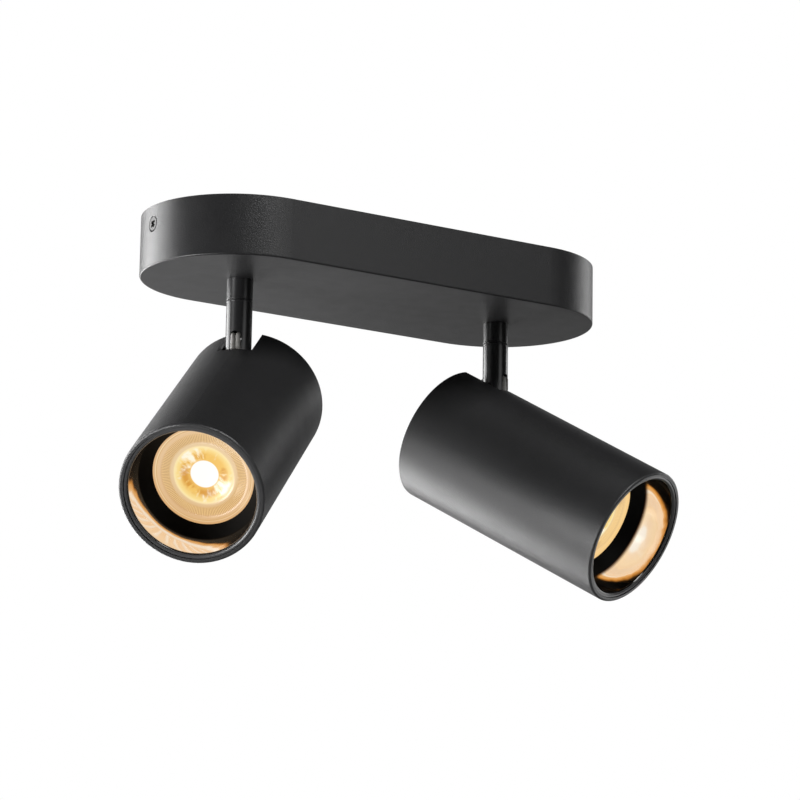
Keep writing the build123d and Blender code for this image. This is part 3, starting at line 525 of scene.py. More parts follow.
def surface(name, points, materials, row_values, row_materials=None):
    """Closed skin over points[row, column], whose columns run full circle. The UV map holds the turn and the
    row's value, and row_materials picks a material for each band between two rows."""
    rows, columns = points.shape[:2]
    row, column = np.meshgrid(np.arange(rows - 1), np.arange(columns), indexing="ij")
    following = (column + 1) % columns
    first = row * columns
    second = first + columns
    faces = np.stack([first + column, first + following, second + following, second + column], axis=-1)
    mesh = bpy.data.meshes.new(name)
    mesh.from_pydata(points.reshape(-1, 3).tolist(), [], faces.reshape(-1, 4).tolist())
    turn = np.stack([column, column + 1, column + 1, column], axis=-1) / columns
    values = np.asarray(row_values)
    height = np.stack([values[row], values[row], values[row + 1], values[row + 1]], axis=-1)
    layer = mesh.uv_layers.new(name="turn_and_row")
    layer.data.foreach_set("uv", np.stack([turn, height], axis=-1).astype(np.float32).ravel())
    for material in materials:
        mesh.materials.append(material)
    if row_materials is not None:
        mesh.polygons.foreach_set("material_index", np.repeat(row_materials, columns).astype(np.int32))
    skin = bmesh.new()
    skin.from_mesh(mesh)
    bmesh.ops.remove_doubles(skin, verts=skin.verts, dist=1e-7)
    bmesh.ops.recalc_face_normals(skin, faces=skin.faces)
    skin.to_mesh(mesh)
    skin.free()
    mesh.shade_smooth()
    mesh.set_sharp_from_angle(angle=SHARP_EDGE)
    piece = bpy.data.objects.new(name, mesh)
    bpy.context.scene.collection.objects.link(piece)
    return piece


print("edges over", round(math.degrees(SHARP_EDGE)), "degrees stay sharp")

# %% [markdown]
# ## Where each head stands
# The joints say it all: the tilt joint's place is the pivot and its axis is the pin. The angle back to the
# joint's lower limit, where the head hangs straight down, gives the head's tilt, so the direction that the
# lamp shines in follows from the record.

# %% Frames of the two spots
PIVOT_OFFSET = 30.0 * MM  # head axis to the pin
PIVOT_SETBACK = 13.8 * MM  # rear end of the tube to the pin
HEAD_LENGTH = 115.0 * MM


class Spot:
    """Directions of one head: forward is level, aim is where the lamp points, and rise goes from the head to
    the stem."""

    def __init__(self, side):
        tilt_joint = joints[f"tilt_{side}"]
        tilt = math.radians(-tilt_joint["range_deg"][0])
        self.side = side
        self.pivot = np.array(tilt_joint["pos_m"])
        self.pin = np.array(tilt_joint["axis"])
        self.forward = np.cross(UP, self.pin)
        self.aim = math.sin(tilt) * self.forward - math.cos(tilt) * UP
        self.rise = math.cos(tilt) * self.forward + math.sin(tilt) * UP
        self.rear = self.pivot - PIVOT_OFFSET * self.rise - PIVOT_SETBACK * self.aim

    def in_stem(self, forward, across, level):
        """Point from the stem's axis: forward, across along the pin, and level from the ceiling."""
        return np.array([self.pivot[0], self.pivot[1], level]) + forward * self.forward + across * self.pin

    def in_head(self, rise, across, along):
        """Point from the middle of the tube's rear end."""
        return self.rear + rise * self.rise + across * self.pin + along * self.aim


spots = [Spot("left"), Spot("right")]
for spot in spots:
    print(spot.side, "aims", np.round(spot.aim, 3), "mouth at", np.round(spot.in_head(0, 0, HEAD_LENGTH), 4))

# %% [markdown]
# ## Cut ends of the tubes
# On the cut end of a tube the black coat is painted a shade lighter: a painted highlight that draws a grey line
# round the dark mouth. The same recipe in lighter tones goes onto the faces at the end that look the way the lamp
# shines.

# %% Coat on the cut ends
CUT_END_DEPTH = 0.8 * MM
CUT_END_FACING = 0.3  # cosine of the widest angle from the aim that still counts
# Painted highlight: the coat on the cut end is a lighter grey than the black it really is.
cut_end_painted_highlight_coat = powder_coat("powder_coat_with_painted_highlight_on_cut_end", "#2c2c2d", "#3a3a3b", (0.34, 0.38))
for spot in spots:
    tube_mesh = frame["nodes"][f"head_tube_{spot.side}"].data
    middles = np.empty(len(tube_mesh.polygons) * 3)
    normals = np.empty(len(tube_mesh.polygons) * 3)
    tube_mesh.polygons.foreach_get("center", middles)
    tube_mesh.polygons.foreach_get("normal", normals)
    along = (middles.reshape(-1, 3) - spot.rear) @ spot.aim
    turned_out = normals.reshape(-1, 3) @ spot.aim
    at_end = (along > HEAD_LENGTH - CUT_END_DEPTH) & (turned_out > CUT_END_FACING)
    tube_mesh.materials.append(cut_end_painted_highlight_coat)
    tube_mesh.polygons.foreach_set("material_index", at_end.astype(np.int32))
    print("cut end of", spot.side, "tube:", at_end.sum(), "of", len(at_end), "faces")

# %% [markdown]
# ## The lit optic
# Behind the ring sits a clear moulded optic over a warm LED. Lit, it shows a white disc of light, a clear
# amber zone with the sparkle of the chip around it, a band of fine radial ribs that spread the beam, a
# bright bead and a plain rim. The relief is real: the ribs, groove, bead and dished middle are heights on
# a fine grid. The glow is a colour for each radius, broken up by the ribs and by noise drawn out along the
# spokes.

# %% Optic colours
OPTIC_RADIUS = 23.85 * MM
OPTIC_FRONT = 93.5 * MM  # from the tube's rear end
OPTIC_THICKNESS = 1.2 * MM
DISC_RADIUS = 6.2 * MM
CLEAR_RADIUS = 13.0 * MM
RIB_START = 14.8 * MM
RIB_END = 18.8 * MM
RIB_COUNT = 150
RIB_SHADE = 0.3
SPOKES = (4.0, 4.0, 6.0)  # noise cells round the circle and along the radius
BEAD_RADIUS = 20.1 * MM
BEAD_HALF_WIDTH = 0.6 * MM
# Painted reflection: mirror rays see the lamp in the second table's colours, with pale ridges, in place of its own
# glow.
MIRRORED_SHARE = 0.85
RIDGE_COUNT = 75  # painted highlight: every other rib shows a pale ridge to mirror rays
PAINTED_RIDGE_LIGHT = 0.75
GLOW = (
    (0.0 * MM, "#fffdfa"),
    (6.0 * MM, "#fffdfa"),
    (6.4 * MM, "#f0c062"),
    (9.5 * MM, "#f2c568"),
    (12.0 * MM, "#f8dc92"),
    (13.0 * MM, "#fbe6ae"),
    (13.6 * MM, "#e9cda2"),
    (14.6 * MM, "#e6c99e"),
    (15.5 * MM, "#d4ae7e"),
    (18.8 * MM, "#d8b285"),
    (19.4 * MM, "#e4c196"),
    (20.6 * MM, "#e6c398"),
    (20.9 * MM, "#d3a970"),
    (21.3 * MM, "#f6dcb4"),
    (21.7 * MM, "#dcb587"),
    (23.85 * MM, "#d6a872"),
)
PAINTED_MIRROR_GLOW = (
    (0.0 * MM, "#fffdfa"),
    (6.0 * MM, "#fffaf2"),
    (7.5 * MM, "#fce8d0"),
    (13.0 * MM, "#fadfbd"),
    (19.8 * MM, "#fad6b0"),
    (20.3 * MM, "#fff5e8"),
    (20.9 * MM, "#fff5e8"),
    (21.3 * MM, "#e6ad66"),
    (23.85 * MM, "#cf8a36"),
)
print("colours by radius:", len(GLOW), "for the eye and", len(PAINTED_MIRROR_GLOW), "for the mirror")

# %% Optic glow
RIDGE_START = 0.2  # part of the cosine wave that a ridge takes up
RIDGE_FULL = 0.9
CLEAR_EDGE = 0.8 * MM
AMBER_RADIUS = 11.0 * MM
AMBER_EDGE = 3.0 * MM
LOWER_START = 0.3  # cosine of the turn from the top, where the lower half begins to deepen
LOWER_SHARE = 0.35
SIDE_START = 0.2  # slant of the view, from 0 straight on to 1 edge on
SIDE_FULL = 0.35
SIDE_SHARE = 0.75


def optic_glow():
    """Emission by radius from the UV map, with dark rib lines and, in the clear zone, spokes of noise that lean to
    pale along one diagonal and to deep amber at the sides. Seen from the side its outer part is golden. To mirror
    rays alone it shows a painted reflection with pale ridges, a white line and an orange border, which stands for
    the rim sending light outwards."""
    material, tree, shader = new_material(
        "lit_clear_polycarbonate",
        Base_Color=linear("#2a2115"),
        Roughness=0.32,
        IOR=1.58,
        Emission_Strength=1.0,
    )
    uv = add_node(tree, "UVMap", uv_map="turn_and_row")
    parts = add_node(tree, "SeparateXYZ", {"Vector": uv.outputs["UV"]})
    radius = parts.outputs["Y"]

    def zone(inner, outer, soft):
        """1 between two radii, falling to 0 over the soft width inside each."""
        share = {}
        for place, (start, full) in enumerate(((inner, inner + soft), (outer, outer - soft))):
            limits = {"From Min": start / OPTIC_RADIUS, "From Max": full / OPTIC_RADIUS}
            share[place] = add_node(tree, "MapRange", {"Value": radius, **limits}).outputs["Result"]
        return add_node(tree, "Math", share, operation="MULTIPLY").outputs["Value"]

    def wave(kind, count):
        """Sine or cosine that goes through the given number of waves in a full turn."""
        angle = add_node(tree, "Math", {0: parts.outputs["X"], 1: count * 2 * math.pi}, operation="MULTIPLY")
        return add_node(tree, "Math", {0: angle.outputs["Value"]}, operation=kind).outputs["Value"]

    def tinted(below, strength, area, colour):
        """A colour laid over the glow so far, by a strength within an area."""
        share = add_node(tree, "Math", {0: strength, 1: area}, operation="MULTIPLY").outputs["Value"]
        mix = add_node(tree, "Mix", {"Factor": share, "A": below, "B": linear(colour)}, data_type="RGBA")
        return mix.outputs["Result"]

    def by_radius(table):
        """Colour for each radius, blended between the table's stops."""
        ramp = add_node(tree, "ValToRGB", {"Fac": radius})
        stops = ramp.color_ramp.elements
        for place, _ in table[1:-1]:
            stops.new(place / OPTIC_RADIUS)
        for stop, (place, colour) in zip(stops, table):
            stop.position = place / OPTIC_RADIUS
            stop.color = linear(colour)
        return ramp.outputs["Color"]

    rib = add_node(
        tree,
        "MapRange",
        {"Value": wave("COSINE", RIB_COUNT), "From Min": -1.0, "From Max": 1.0, "To Max": RIB_SHADE},
    )
    glow = tinted(by_radius(GLOW), rib.outputs["Result"], zone(RIB_START, RIB_END, MM), "#5e3d18")

    circle = {"X": wave("COSINE", 1), "Y": wave("SINE", 1), "Z": radius}
    ring_place = add_node(tree, "CombineXYZ", circle)
    spokes = add_node(tree, "Mapping", {"Vector": ring_place.outputs["Vector"], "Scale": SPOKES})
    noise = add_node(tree, "TexNoise", {"Vector": spokes.outputs["Vector"], "Scale": 1.0, "Detail": 4.0})
    clear = zone(DISC_RADIUS, CLEAR_RADIUS, CLEAR_EDGE)
    near_disc = zone(DISC_RADIUS, AMBER_RADIUS, AMBER_EDGE)
    pale_diagonal = (("SINE", 2, 0.13),)
    amber_sides = (("COSINE", 4, -0.14), ("COSINE", 1, 0.1), ("SINE", 1, -0.1))
    for waves, limits, area, colour in (
        (pale_diagonal, (0.5, 0.72), clear, "#fff6de"),
        (amber_sides, (0.54, 0.36), near_disc, "#c97c08"),
    ):
        leaning = noise.outputs["Fac"]
        for kind, count, lean in waves:
            slope = {0: wave(kind, count), 1: lean, 2: leaning}
            leaning = add_node(tree, "Math", slope, operation="MULTIPLY_ADD").outputs["Value"]
        share = add_node(tree, "MapRange", {"Value": leaning, "From Min": limits[0], "From Max": limits[1]})
        glow = tinted(glow, share.outputs["Result"], area, colour)

    lower = add_node(
        tree,
        "MapRange",
        {"Value": wave("COSINE", 1), "From Min": LOWER_START, "From Max": -1.0, "To Max": LOWER_SHARE},
    )
    glow = tinted(glow, lower.outputs["Result"], zone(CLEAR_RADIUS, OPTIC_RADIUS + MM, MM), "#cf9a55")

    slant = add_node(tree, "LayerWeight", {"Blend": 0.5})
    sideways = add_node(
        tree,
        "MapRange",
        {
            "Value": slant.outputs["Facing"],
            "From Min": SIDE_START,
            "From Max": SIDE_FULL,
            "To Max": SIDE_SHARE,
        },
    )
    glow = tinted(glow, sideways.outputs["Result"], zone(CLEAR_RADIUS, OPTIC_RADIUS + MM, MM), "#f3cf8c")

    mirrored = add_node(tree, "LightPath").outputs["Is Glossy Ray"]
    painted_mirror_share = add_node(tree, "Math", {0: mirrored, 1: MIRRORED_SHARE}, operation="MULTIPLY")
    ridge = add_node(
        tree,
        "MapRange",
        {
            "Value": wave("COSINE", RIDGE_COUNT),
            "From Min": RIDGE_START,
            "From Max": RIDGE_FULL,
            "To Max": PAINTED_RIDGE_LIGHT,
        },
    )
    ridge_area = zone(RIB_START, BEAD_RADIUS, MM)
    painted_mirror_image = tinted(by_radius(PAINTED_MIRROR_GLOW), ridge.outputs["Result"], ridge_area, "#fffaf2")
    shown = add_node(
        tree,
        "Mix",
        {"Factor": painted_mirror_share.outputs["Value"], "A": glow, "B": painted_mirror_image},
        data_type="RGBA",
    )
    tree.links.new(shown.outputs["Result"], shader.inputs["Emission Color"])
    return material


lit_optic = optic_glow()
print(lit_optic.name, "has", len(lit_optic.node_tree.nodes), "shader nodes")

# %% Optic relief
OPTIC_COLUMNS = RIB_COUNT * 6
FRONT_ROWS = 48
RIB_DEPTH = 0.25 * MM
GROOVE_DEPTH = 0.35 * MM
GROOVE_HALF_WIDTH = 0.5 * MM
CORE_DEPTH = 13.0 * MM
CORE_END_RADIUS = 7.0 * MM
CUP_RADIUS = 5.2 * MM
CUP_DEPTH = 3.0 * MM
DISH_DEPTH = 2.0 * MM


def optic_piece(spot):
    """Front: depth = bead and groove as round bumps in the radius, a shallow dish in the clear middle as
    1 - (r / R)^2, plus ribs as a cosine in the turn.
    Behind it the rim's edge, the cone of the core and the cup over the chip close the solid."""
    radius = np.linspace(0.0, OPTIC_RADIUS, FRONT_ROWS)
    turn = np.linspace(0.0, 2 * np.pi, OPTIC_COLUMNS, endpoint=False)
    groove = np.exp(-(((radius - CLEAR_RADIUS) / GROOVE_HALF_WIDTH) ** 2))
    bead = np.exp(-(((radius - BEAD_RADIUS) / BEAD_HALF_WIDTH) ** 2))
    ribbed = (radius > RIB_START) & (radius < RIB_END)
    ribs = ribbed[:, None] * (1 + np.cos(RIB_COUNT * turn))[None, :] / 2
    depth = RIB_DEPTH * (1 - bead[:, None]) + GROOVE_DEPTH * groove[:, None] + RIB_DEPTH * ribs
    dish = DISH_DEPTH * np.clip(1 - (radius / CLEAR_RADIUS) ** 2, 0.0, 1.0)
    front = OPTIC_FRONT - depth - dish[:, None]
    cup_floor = CORE_DEPTH - CUP_DEPTH
    back_depth = [OPTIC_THICKNESS, OPTIC_THICKNESS, CORE_DEPTH, CORE_DEPTH, cup_floor, cup_floor]
    back_along = OPTIC_FRONT - np.array(back_depth)
    back_radius = np.array([OPTIC_RADIUS, CLEAR_RADIUS, CORE_END_RADIUS, CUP_RADIUS, CUP_RADIUS, 0.0])
    along = np.vstack([front, np.repeat(back_along[:, None], OPTIC_COLUMNS, axis=1)])
    radius = np.concatenate([radius, back_radius])
    points = revolved(along, radius, spot.rear, spot.aim, spot.rise, OPTIC_COLUMNS)
    return surface(f"lit_optic_{spot.side}", points, [lit_optic], radius / OPTIC_RADIUS)


for spot in spots:
    optic = optic_piece(spot)
    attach(optic, f"head_{spot.side}")
    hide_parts(f"lamp_lens_{spot.side}")
    print(optic.name, len(optic.data.polygons), "faces")

# %% [markdown]
# ## The mirror cone in the mouth
# The insert hides the lamp from the side. Its cone is dark-chromed: a mirror, so it looks black wherever it sees
# black and carries a bright image of the lamp where it sees the lamp. The lip is satin black, painted a lighter
# grey as a painted highlight, with a polished inner edge that catches the studio in fine lines. The seat round the
# lamp is matt black, and only its inner edge shows in the mirror, with a painted glow that stands for the lamp's
# rim lighting it.

# %% Dark chrome
# A mirror that waves a little, as chrome over a moulding does, and turns brown at the foot of the cone.
SEAT_FRONT = 99.0 * MM  # foot of the cone, from the tube's rear end
CHROME_FADE = 2.2 * MM
CHROME_WAVE = 5.0 * MM
CHROME_WAVE_HEIGHT = 0.05 * MM
dark_chrome, chrome_tree, chrome_shader = new_material(
    "dark_chrome_on_moulded_cone", Metallic=1.0, Roughness=0.07
)
chrome_uv = add_node(chrome_tree, "UVMap", uv_map="turn_and_row")
chrome_height = add_node(chrome_tree, "SeparateXYZ", {"Vector": chrome_uv.outputs["UV"]}).outputs["Y"]
chrome_fade = add_node(
    chrome_tree,
    "MapRange",
    {"Value": chrome_height, "From Min": SEAT_FRONT, "From Max": SEAT_FRONT + CHROME_FADE},
    interpolation_type="SMOOTHSTEP",
)
chrome_tone = add_node(
    chrome_tree,
    "Mix",
    {"Factor": chrome_fade.outputs["Result"], "A": linear("#2c1604"), "B": linear("#f6efe4")},
    data_type="RGBA",
)
chrome_tree.links.new(chrome_tone.outputs["Result"], chrome_shader.inputs["Base Color"])
chrome_place = add_node(chrome_tree, "TexCoord").outputs["Object"]
chrome_wave = add_node(
    chrome_tree, "TexNoise", {"Vector": chrome_place, "Scale": 1 / CHROME_WAVE, "Detail": 0.5}
)
chrome_bump = add_node(
    chrome_tree,
    "Bump",
    {"Height": chrome_wave.outputs["Fac"], "Strength": 1.0, "Distance": CHROME_WAVE_HEIGHT},
)
chrome_tree.links.new(chrome_bump.outputs["Normal"], chrome_shader.inputs["Normal"])
print(dark_chrome.name, "waves every", CHROME_WAVE / MM, "mm")

# %% Painted glow on the seat
# Painted light: the seat's inner edge glows soft orange to mirror rays alone. This painted glow stands for the
# lamp's rim lighting it, and it shows in the mirror as a soft orange border.
SEAT_EDGE = 94.2 * MM
SEAT_GLOW = 1.1 * MM
seat_tree = glare_seat.node_tree
seat_shader = seat_tree.nodes["Principled BSDF"]
seat_shader.inputs["Emission Color"].default_value = linear("#d08a3c")
seat_uv = add_node(seat_tree, "UVMap", uv_map="turn_and_row")
seat_height = add_node(seat_tree, "SeparateXYZ", {"Vector": seat_uv.outputs["UV"]}).outputs["Y"]
seat_fade = add_node(
    seat_tree,
    "MapRange",
    {"Value": seat_height, "From Min": SEAT_EDGE + SEAT_GLOW, "From Max": SEAT_EDGE},
    interpolation_type="SMOOTHSTEP",
)
seat_mirrored = add_node(seat_tree, "LightPath").outputs["Is Glossy Ray"]
seat_painted_glow = add_node(
    seat_tree, "Math", {0: seat_fade.outputs["Result"], 1: seat_mirrored}, operation="MULTIPLY"
)
seat_tree.links.new(seat_painted_glow.outputs["Value"], seat_shader.inputs["Emission Strength"])
print(glare_seat.name, "is lit over", SEAT_GLOW / MM, "mm")

# %% Mirror cone
CONE_COLUMNS = 192
LIP_ROWS = 13
EDGE_ROWS = 5  # polished inner part of the lip
GLARE_RECESS = 0.5 * MM
GLARE_BAND_RADIUS = 29.85 * MM
GLARE_MOUTH_RADIUS = 28.0 * MM
GLARE_BASE_RADIUS = 27.2 * MM
GLARE_APERTURE_RADIUS = 22.4 * MM
GLARE_WALL = 1.2 * MM
GLARE_BAND_LENGTH = 8.0 * MM
GLARE_LIP_RADIUS = 1.5 * MM
SEAT_BACK = 93.8 * MM


def glare_piece(spot):
    """Closed profile: the quarter-round lip, the cone, the seat, and the back up to the band in the tube.
    Lip: along = lip_back + r sin(a), radius = mouth + r - r cos(a), for a from 0 to a right angle."""
    lip_front = HEAD_LENGTH - GLARE_RECESS
    lip_back = lip_front - GLARE_LIP_RADIUS
    band_back = lip_front - GLARE_BAND_LENGTH
    taper = (GLARE_MOUTH_RADIUS - GLARE_BASE_RADIUS) / (lip_back - SEAT_FRONT)
    outer_base = GLARE_BASE_RADIUS + GLARE_WALL
    shoulder = outer_base + taper * (band_back - SEAT_FRONT)
    swing = np.linspace(np.pi / 2, 0.0, LIP_ROWS)
    lip_along = lip_back + GLARE_LIP_RADIUS * np.sin(swing)
    lip_radius = GLARE_MOUTH_RADIUS + GLARE_LIP_RADIUS * (1 - np.cos(swing))
    seat_along = [SEAT_FRONT, SEAT_EDGE, SEAT_BACK, SEAT_BACK, SEAT_FRONT]
    seat_radius = [GLARE_BASE_RADIUS, GLARE_APERTURE_RADIUS, GLARE_APERTURE_RADIUS, outer_base, outer_base]
    band_along = [band_back, band_back, lip_front]
    band_radius = [shoulder, GLARE_BAND_RADIUS, GLARE_BAND_RADIUS]
    along = np.concatenate([[lip_front], lip_along, seat_along, band_along])
    radius = np.concatenate([[GLARE_BAND_RADIUS], lip_radius, seat_radius, band_radius])
    bands = [0] * (LIP_ROWS - EDGE_ROWS) + [3] * EDGE_ROWS + [1] + [2] * (len(along) - LIP_ROWS - 2)
    finishes = [glare_lip, dark_chrome, glare_seat, lip_edge]
    points = revolved(along, radius, spot.rear, spot.aim, spot.rise, CONE_COLUMNS)
    return surface(f"mirror_cone_{spot.side}", points, finishes, along, bands)


for spot in spots:
    cone = glare_piece(spot)
    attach(cone, f"head_{spot.side}")
    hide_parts(f"glare_ring_{spot.side}")
    print(cone.name, len(cone.data.polygons), "faces")

# %% [markdown]
# ## Rolled edges at the swivel
# Where the turning stem meets its collar, a washer sits back in a narrow groove. Both rims of the groove
# are rolled over a little, as turned edges are, and each catches a fine line of light beside the dark
# groove. A ring of round section on each rim does it: the upper one stays with the canopy, the lower one
# turns.

# %% Rolled edges
COLLAR_END = -37.1 * MM
STEM_TOP = -37.6 * MM
STEM_RADIUS = 5.85 * MM
ROLL_RADIUS = 0.3 * MM
ROLL_PROUD = 0.2 * MM
ROLL_ROWS = 13
ROLL_COLUMNS = 72
roll_turn = np.linspace(0.0, 2 * np.pi, ROLL_ROWS)
roll_along = ROLL_RADIUS * np.sin(roll_turn)
roll_reach = STEM_RADIUS + ROLL_PROUD - ROLL_RADIUS + ROLL_RADIUS * np.cos(roll_turn)
for spot in spots:
    edges = {
        "collar": ("canopy", COLLAR_END + ROLL_RADIUS),
        "stem": (f"stem_{spot.side}", STEM_TOP - ROLL_RADIUS),
    }
    for name, (body, level) in edges.items():
        middle = spot.in_stem(0.0, 0.0, level)
        points = revolved(roll_along, roll_reach, middle, UP, spot.forward, ROLL_COLUMNS)
        edge = surface(f"{name}_rolled_edge_{spot.side}", points, [stem_lacquer], roll_along)
        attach(edge, body)
print("rolled edges:", ROLL_RADIUS / MM, "mm in radius")

# %% [markdown]
# ## Cross-recess screws
# A screw is a turned piece with a cross pressed into its top. The profile is carried round its axis on a
# grid, and the rows of the top are pushed down where they lie in the cross.

# %% Screw shape
SCREW_COLUMNS = 96
TOP_ROWS = 22
ARM_HALF_WIDTH_SHARE = 0.15  # of the top's radius, like the next two
ARM_LENGTH_SHARE = 0.62
ARM_FADE_SHARE = 0.07
ARM_TAPER = 0.45  # how much shallower the recess is at the end of an arm


def screw_surface(profile_along, profile_radius, top_radius, crown, recess, tip, axis, start):
    """Top: depth = crown * (r / R)^2 plus the recess, which is full inside two crossed bars and fades at
    their edges and ends. Side: the profile, given as depth below the top and radius, ending in a pole."""
    arm_half_width = ARM_HALF_WIDTH_SHARE * top_radius
    arm_length = ARM_LENGTH_SHARE * top_radius
    fade = ARM_FADE_SHARE * top_radius
    radius = np.linspace(0.0, top_radius, TOP_ROWS)
    turn = np.linspace(0.0, 2 * np.pi, SCREW_COLUMNS, endpoint=False)
    off_bar = np.minimum(np.abs(np.cos(turn)), np.abs(np.sin(turn)))[None, :] * radius[:, None]
    in_bar = np.clip((arm_half_width + fade - off_bar) / fade, 0.0, 1.0)
    in_arm = np.clip((arm_length - radius) / fade, 0.0, 1.0)[:, None]
    taper = (1 - ARM_TAPER * radius / arm_length).clip(0.0, 1.0)[:, None]
    depth = crown * ((radius / top_radius) ** 2)[:, None] + recess * in_bar * in_arm * taper
    side_depth = np.repeat(np.asarray(profile_along)[:, None], SCREW_COLUMNS, axis=1)
    along = -np.vstack([depth, side_depth])
    all_radius = np.concatenate([radius, profile_radius])
    return revolved(along, all_radius, tip, axis, start, SCREW_COLUMNS), all_radius


def joined(name, pieces):
    """One object of several, with their meshes together, for screws or leads that share a node."""
    bpy.ops.object.select_all(action="DESELECT")
    for piece in pieces:
        piece.select_set(True)
    bpy.context.view_layer.objects.active = pieces[0]
    bpy.ops.object.join()
    pieces[0].name = name
    return pieces[0]


print("grid of a screw:", TOP_ROWS, "rows on top and", SCREW_COLUMNS, "columns")

# %% Canopy screws
CANOPY_END = 114.0 * MM
CANOPY_SCREW_DROP = 8.5 * MM
CANOPY_SCREW_RADIUS = 2.0 * MM
CANOPY_SCREW_HEAD = 3.05 * MM  # a little under the hole, so that a dark line shows round it
CANOPY_SCREW_LENGTH = 9.0 * MM
CANOPY_SCREW_CROWN = 0.0 * MM  # a countersunk screw is flat on top
CANOPY_SCREW_RECESS = 1.1 * MM
SCREW_SEAT = 0.1 * MM
head_height = CANOPY_SCREW_HEAD - CANOPY_SCREW_RADIUS
canopy_screws = []
for end in (-1.0, 1.0):
    painted_mirror_share = np.array([end, 0.0, 0.0])
    tip = np.array([end * (CANOPY_END - SCREW_SEAT), 0.0, -CANOPY_SCREW_DROP])
    depths = [head_height, CANOPY_SCREW_LENGTH, CANOPY_SCREW_LENGTH]
    radii = [CANOPY_SCREW_RADIUS, CANOPY_SCREW_RADIUS, 0.0]
    diagonal = np.array([0.0, math.sqrt(0.5), math.sqrt(0.5)])
    top = (CANOPY_SCREW_HEAD, CANOPY_SCREW_CROWN, CANOPY_SCREW_RECESS)
    points, rows = screw_surface(depths, radii, *top, tip, painted_mirror_share, diagonal)
    canopy_screws.append(surface(f"canopy_screw_{len(canopy_screws)}", points, [black_oxide], rows))
canopy_screw_pair = joined("canopy_cross_screws", canopy_screws)
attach(canopy_screw_pair, "canopy")
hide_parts("canopy_screws")
print(canopy_screw_pair.name, len(canopy_screw_pair.data.polygons), "faces")

# %% Screws of the rear caps
CAP_RECESS = 2.5 * MM
CAP_SCREW_RADIUS = 1.5 * MM
CAP_SCREW_HEAD = 2.75 * MM
CAP_SCREW_HEAD_HEIGHT = 1.8 * MM
CAP_SCREW_LENGTH = 9.0 * MM
CAP_SCREW_CROWN = 0.35 * MM
CAP_SCREW_RECESS = 1.0 * MM
RIB_LINE = 27.1 * MM
BRACKET_LINE = 14.05 * MM
FOOT_LINE = -11.0 * MM
SCREW_HALF_SPACING = 5.0 * MM
HEAD_EDGE = 0.55 * MM
cap_screw_places = [(0.0, RIB_LINE), (BRACKET_LINE, SCREW_HALF_SPACING), (FOOT_LINE, SCREW_HALF_SPACING)]
for spot in spots:
    screws = []
    for rise, across in cap_screw_places:
        for way in (-1.0, 1.0):
            tip = spot.in_head(rise, way * across, CAP_RECESS - CAP_SCREW_HEAD_HEIGHT)
            end = CAP_SCREW_HEAD_HEIGHT + CAP_SCREW_LENGTH
            depths = [HEAD_EDGE, CAP_SCREW_HEAD_HEIGHT, CAP_SCREW_HEAD_HEIGHT, end, end]
            radii = [CAP_SCREW_HEAD, CAP_SCREW_HEAD, CAP_SCREW_RADIUS, CAP_SCREW_RADIUS, 0.0]
            top = (CAP_SCREW_HEAD - HEAD_EDGE / 2, CAP_SCREW_CROWN, CAP_SCREW_RECESS)
            points, rows = screw_surface(depths, radii, *top, tip, -spot.aim, spot.rise)
            screws.append(surface(f"cap_screw_{spot.side}_{len(screws)}", points, [black_oxide], rows))
    cap_screws = joined(f"cap_cross_screws_{spot.side}", screws)
    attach(cap_screws, f"head_{spot.side}")
    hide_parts(f"cap_screws_{spot.side}")
    print(cap_screws.name, len(cap_screws.data.polygons), "faces")

# %% [markdown]
# ## Leads
# Two silicone-sleeved leads run down each stem, come out in the fork in front of the head's tongue and go into the
# lamp holder. A lead is a round section along a smooth line: a NURBS curve with a few chosen points as its
# controls is read as points, and rings of a circle are set square to it. The pair's mesh is set where it stands
# and is tied to no body.

# %% Sleeve finishes
BLOOM = 1.5 * MM
BLOOM_LOW = 0.3  # the noise seldom goes outside these two values
BLOOM_HIGH = 0.7
BLOOM_SHARE = 0.12
STRIPE_START = 0.65  # share of the turn, from where the stripe goes on to the full turn


def sleeve(name, main, stripe=None):
    """Silicone or PVC sleeve: a faint dusty bloom and, on an earth lead, a stripe along one side."""
    material, tree, shader = new_material(name, Roughness=0.42, IOR=1.41)
    uv = add_node(tree, "UVMap", uv_map="turn_and_row")
    parts = add_node(tree, "SeparateXYZ", {"Vector": uv.outputs["UV"]})
    place = add_node(tree, "TexCoord").outputs["Object"]
    bloom = add_node(tree, "TexNoise", {"Vector": place, "Scale": 1 / BLOOM, "Detail": 3.0})
    in_stripe = add_node(
        tree, "Math", {0: parts.outputs["X"], 1: STRIPE_START}, operation="GREATER_THAN"
    )
    striped = add_node(
        tree,
        "Mix",
        {"Factor": in_stripe.outputs["Value"], "A": linear(main), "B": linear(stripe or main)},
        data_type="RGBA",
    )
    dust = add_node(
        tree,
        "MapRange",
        {
            "Value": bloom.outputs["Fac"],
            "From Min": BLOOM_LOW,
            "From Max": BLOOM_HIGH,
            "To Max": BLOOM_SHARE,
        },
    )
    dusty = add_node(
        tree,
        "Mix",
        {"Factor": dust.outputs["Result"], "A": striped.outputs["Result"], "B": linear("#ffffff")},
        data_type="RGBA",
    )
    tree.links.new(dusty.outputs["Result"], shader.inputs["Base Color"])
    return material


# Soft grey, a little dusty.
lead_sleeve = sleeve("light_grey_silicone_sleeve", "#75736f")
# Green with a yellow stripe along it.
earth_sleeve = sleeve("green_yellow_pvc_sleeve", "#3f7d2c", "#d9c22e")
print("sleeves:", lead_sleeve.name, earth_sleeve.name)

# %% Tubes along smooth lines
LEAD_RADIUS = 0.85 * MM
LEAD_COLUMNS = 20
LINE_STEPS = 10


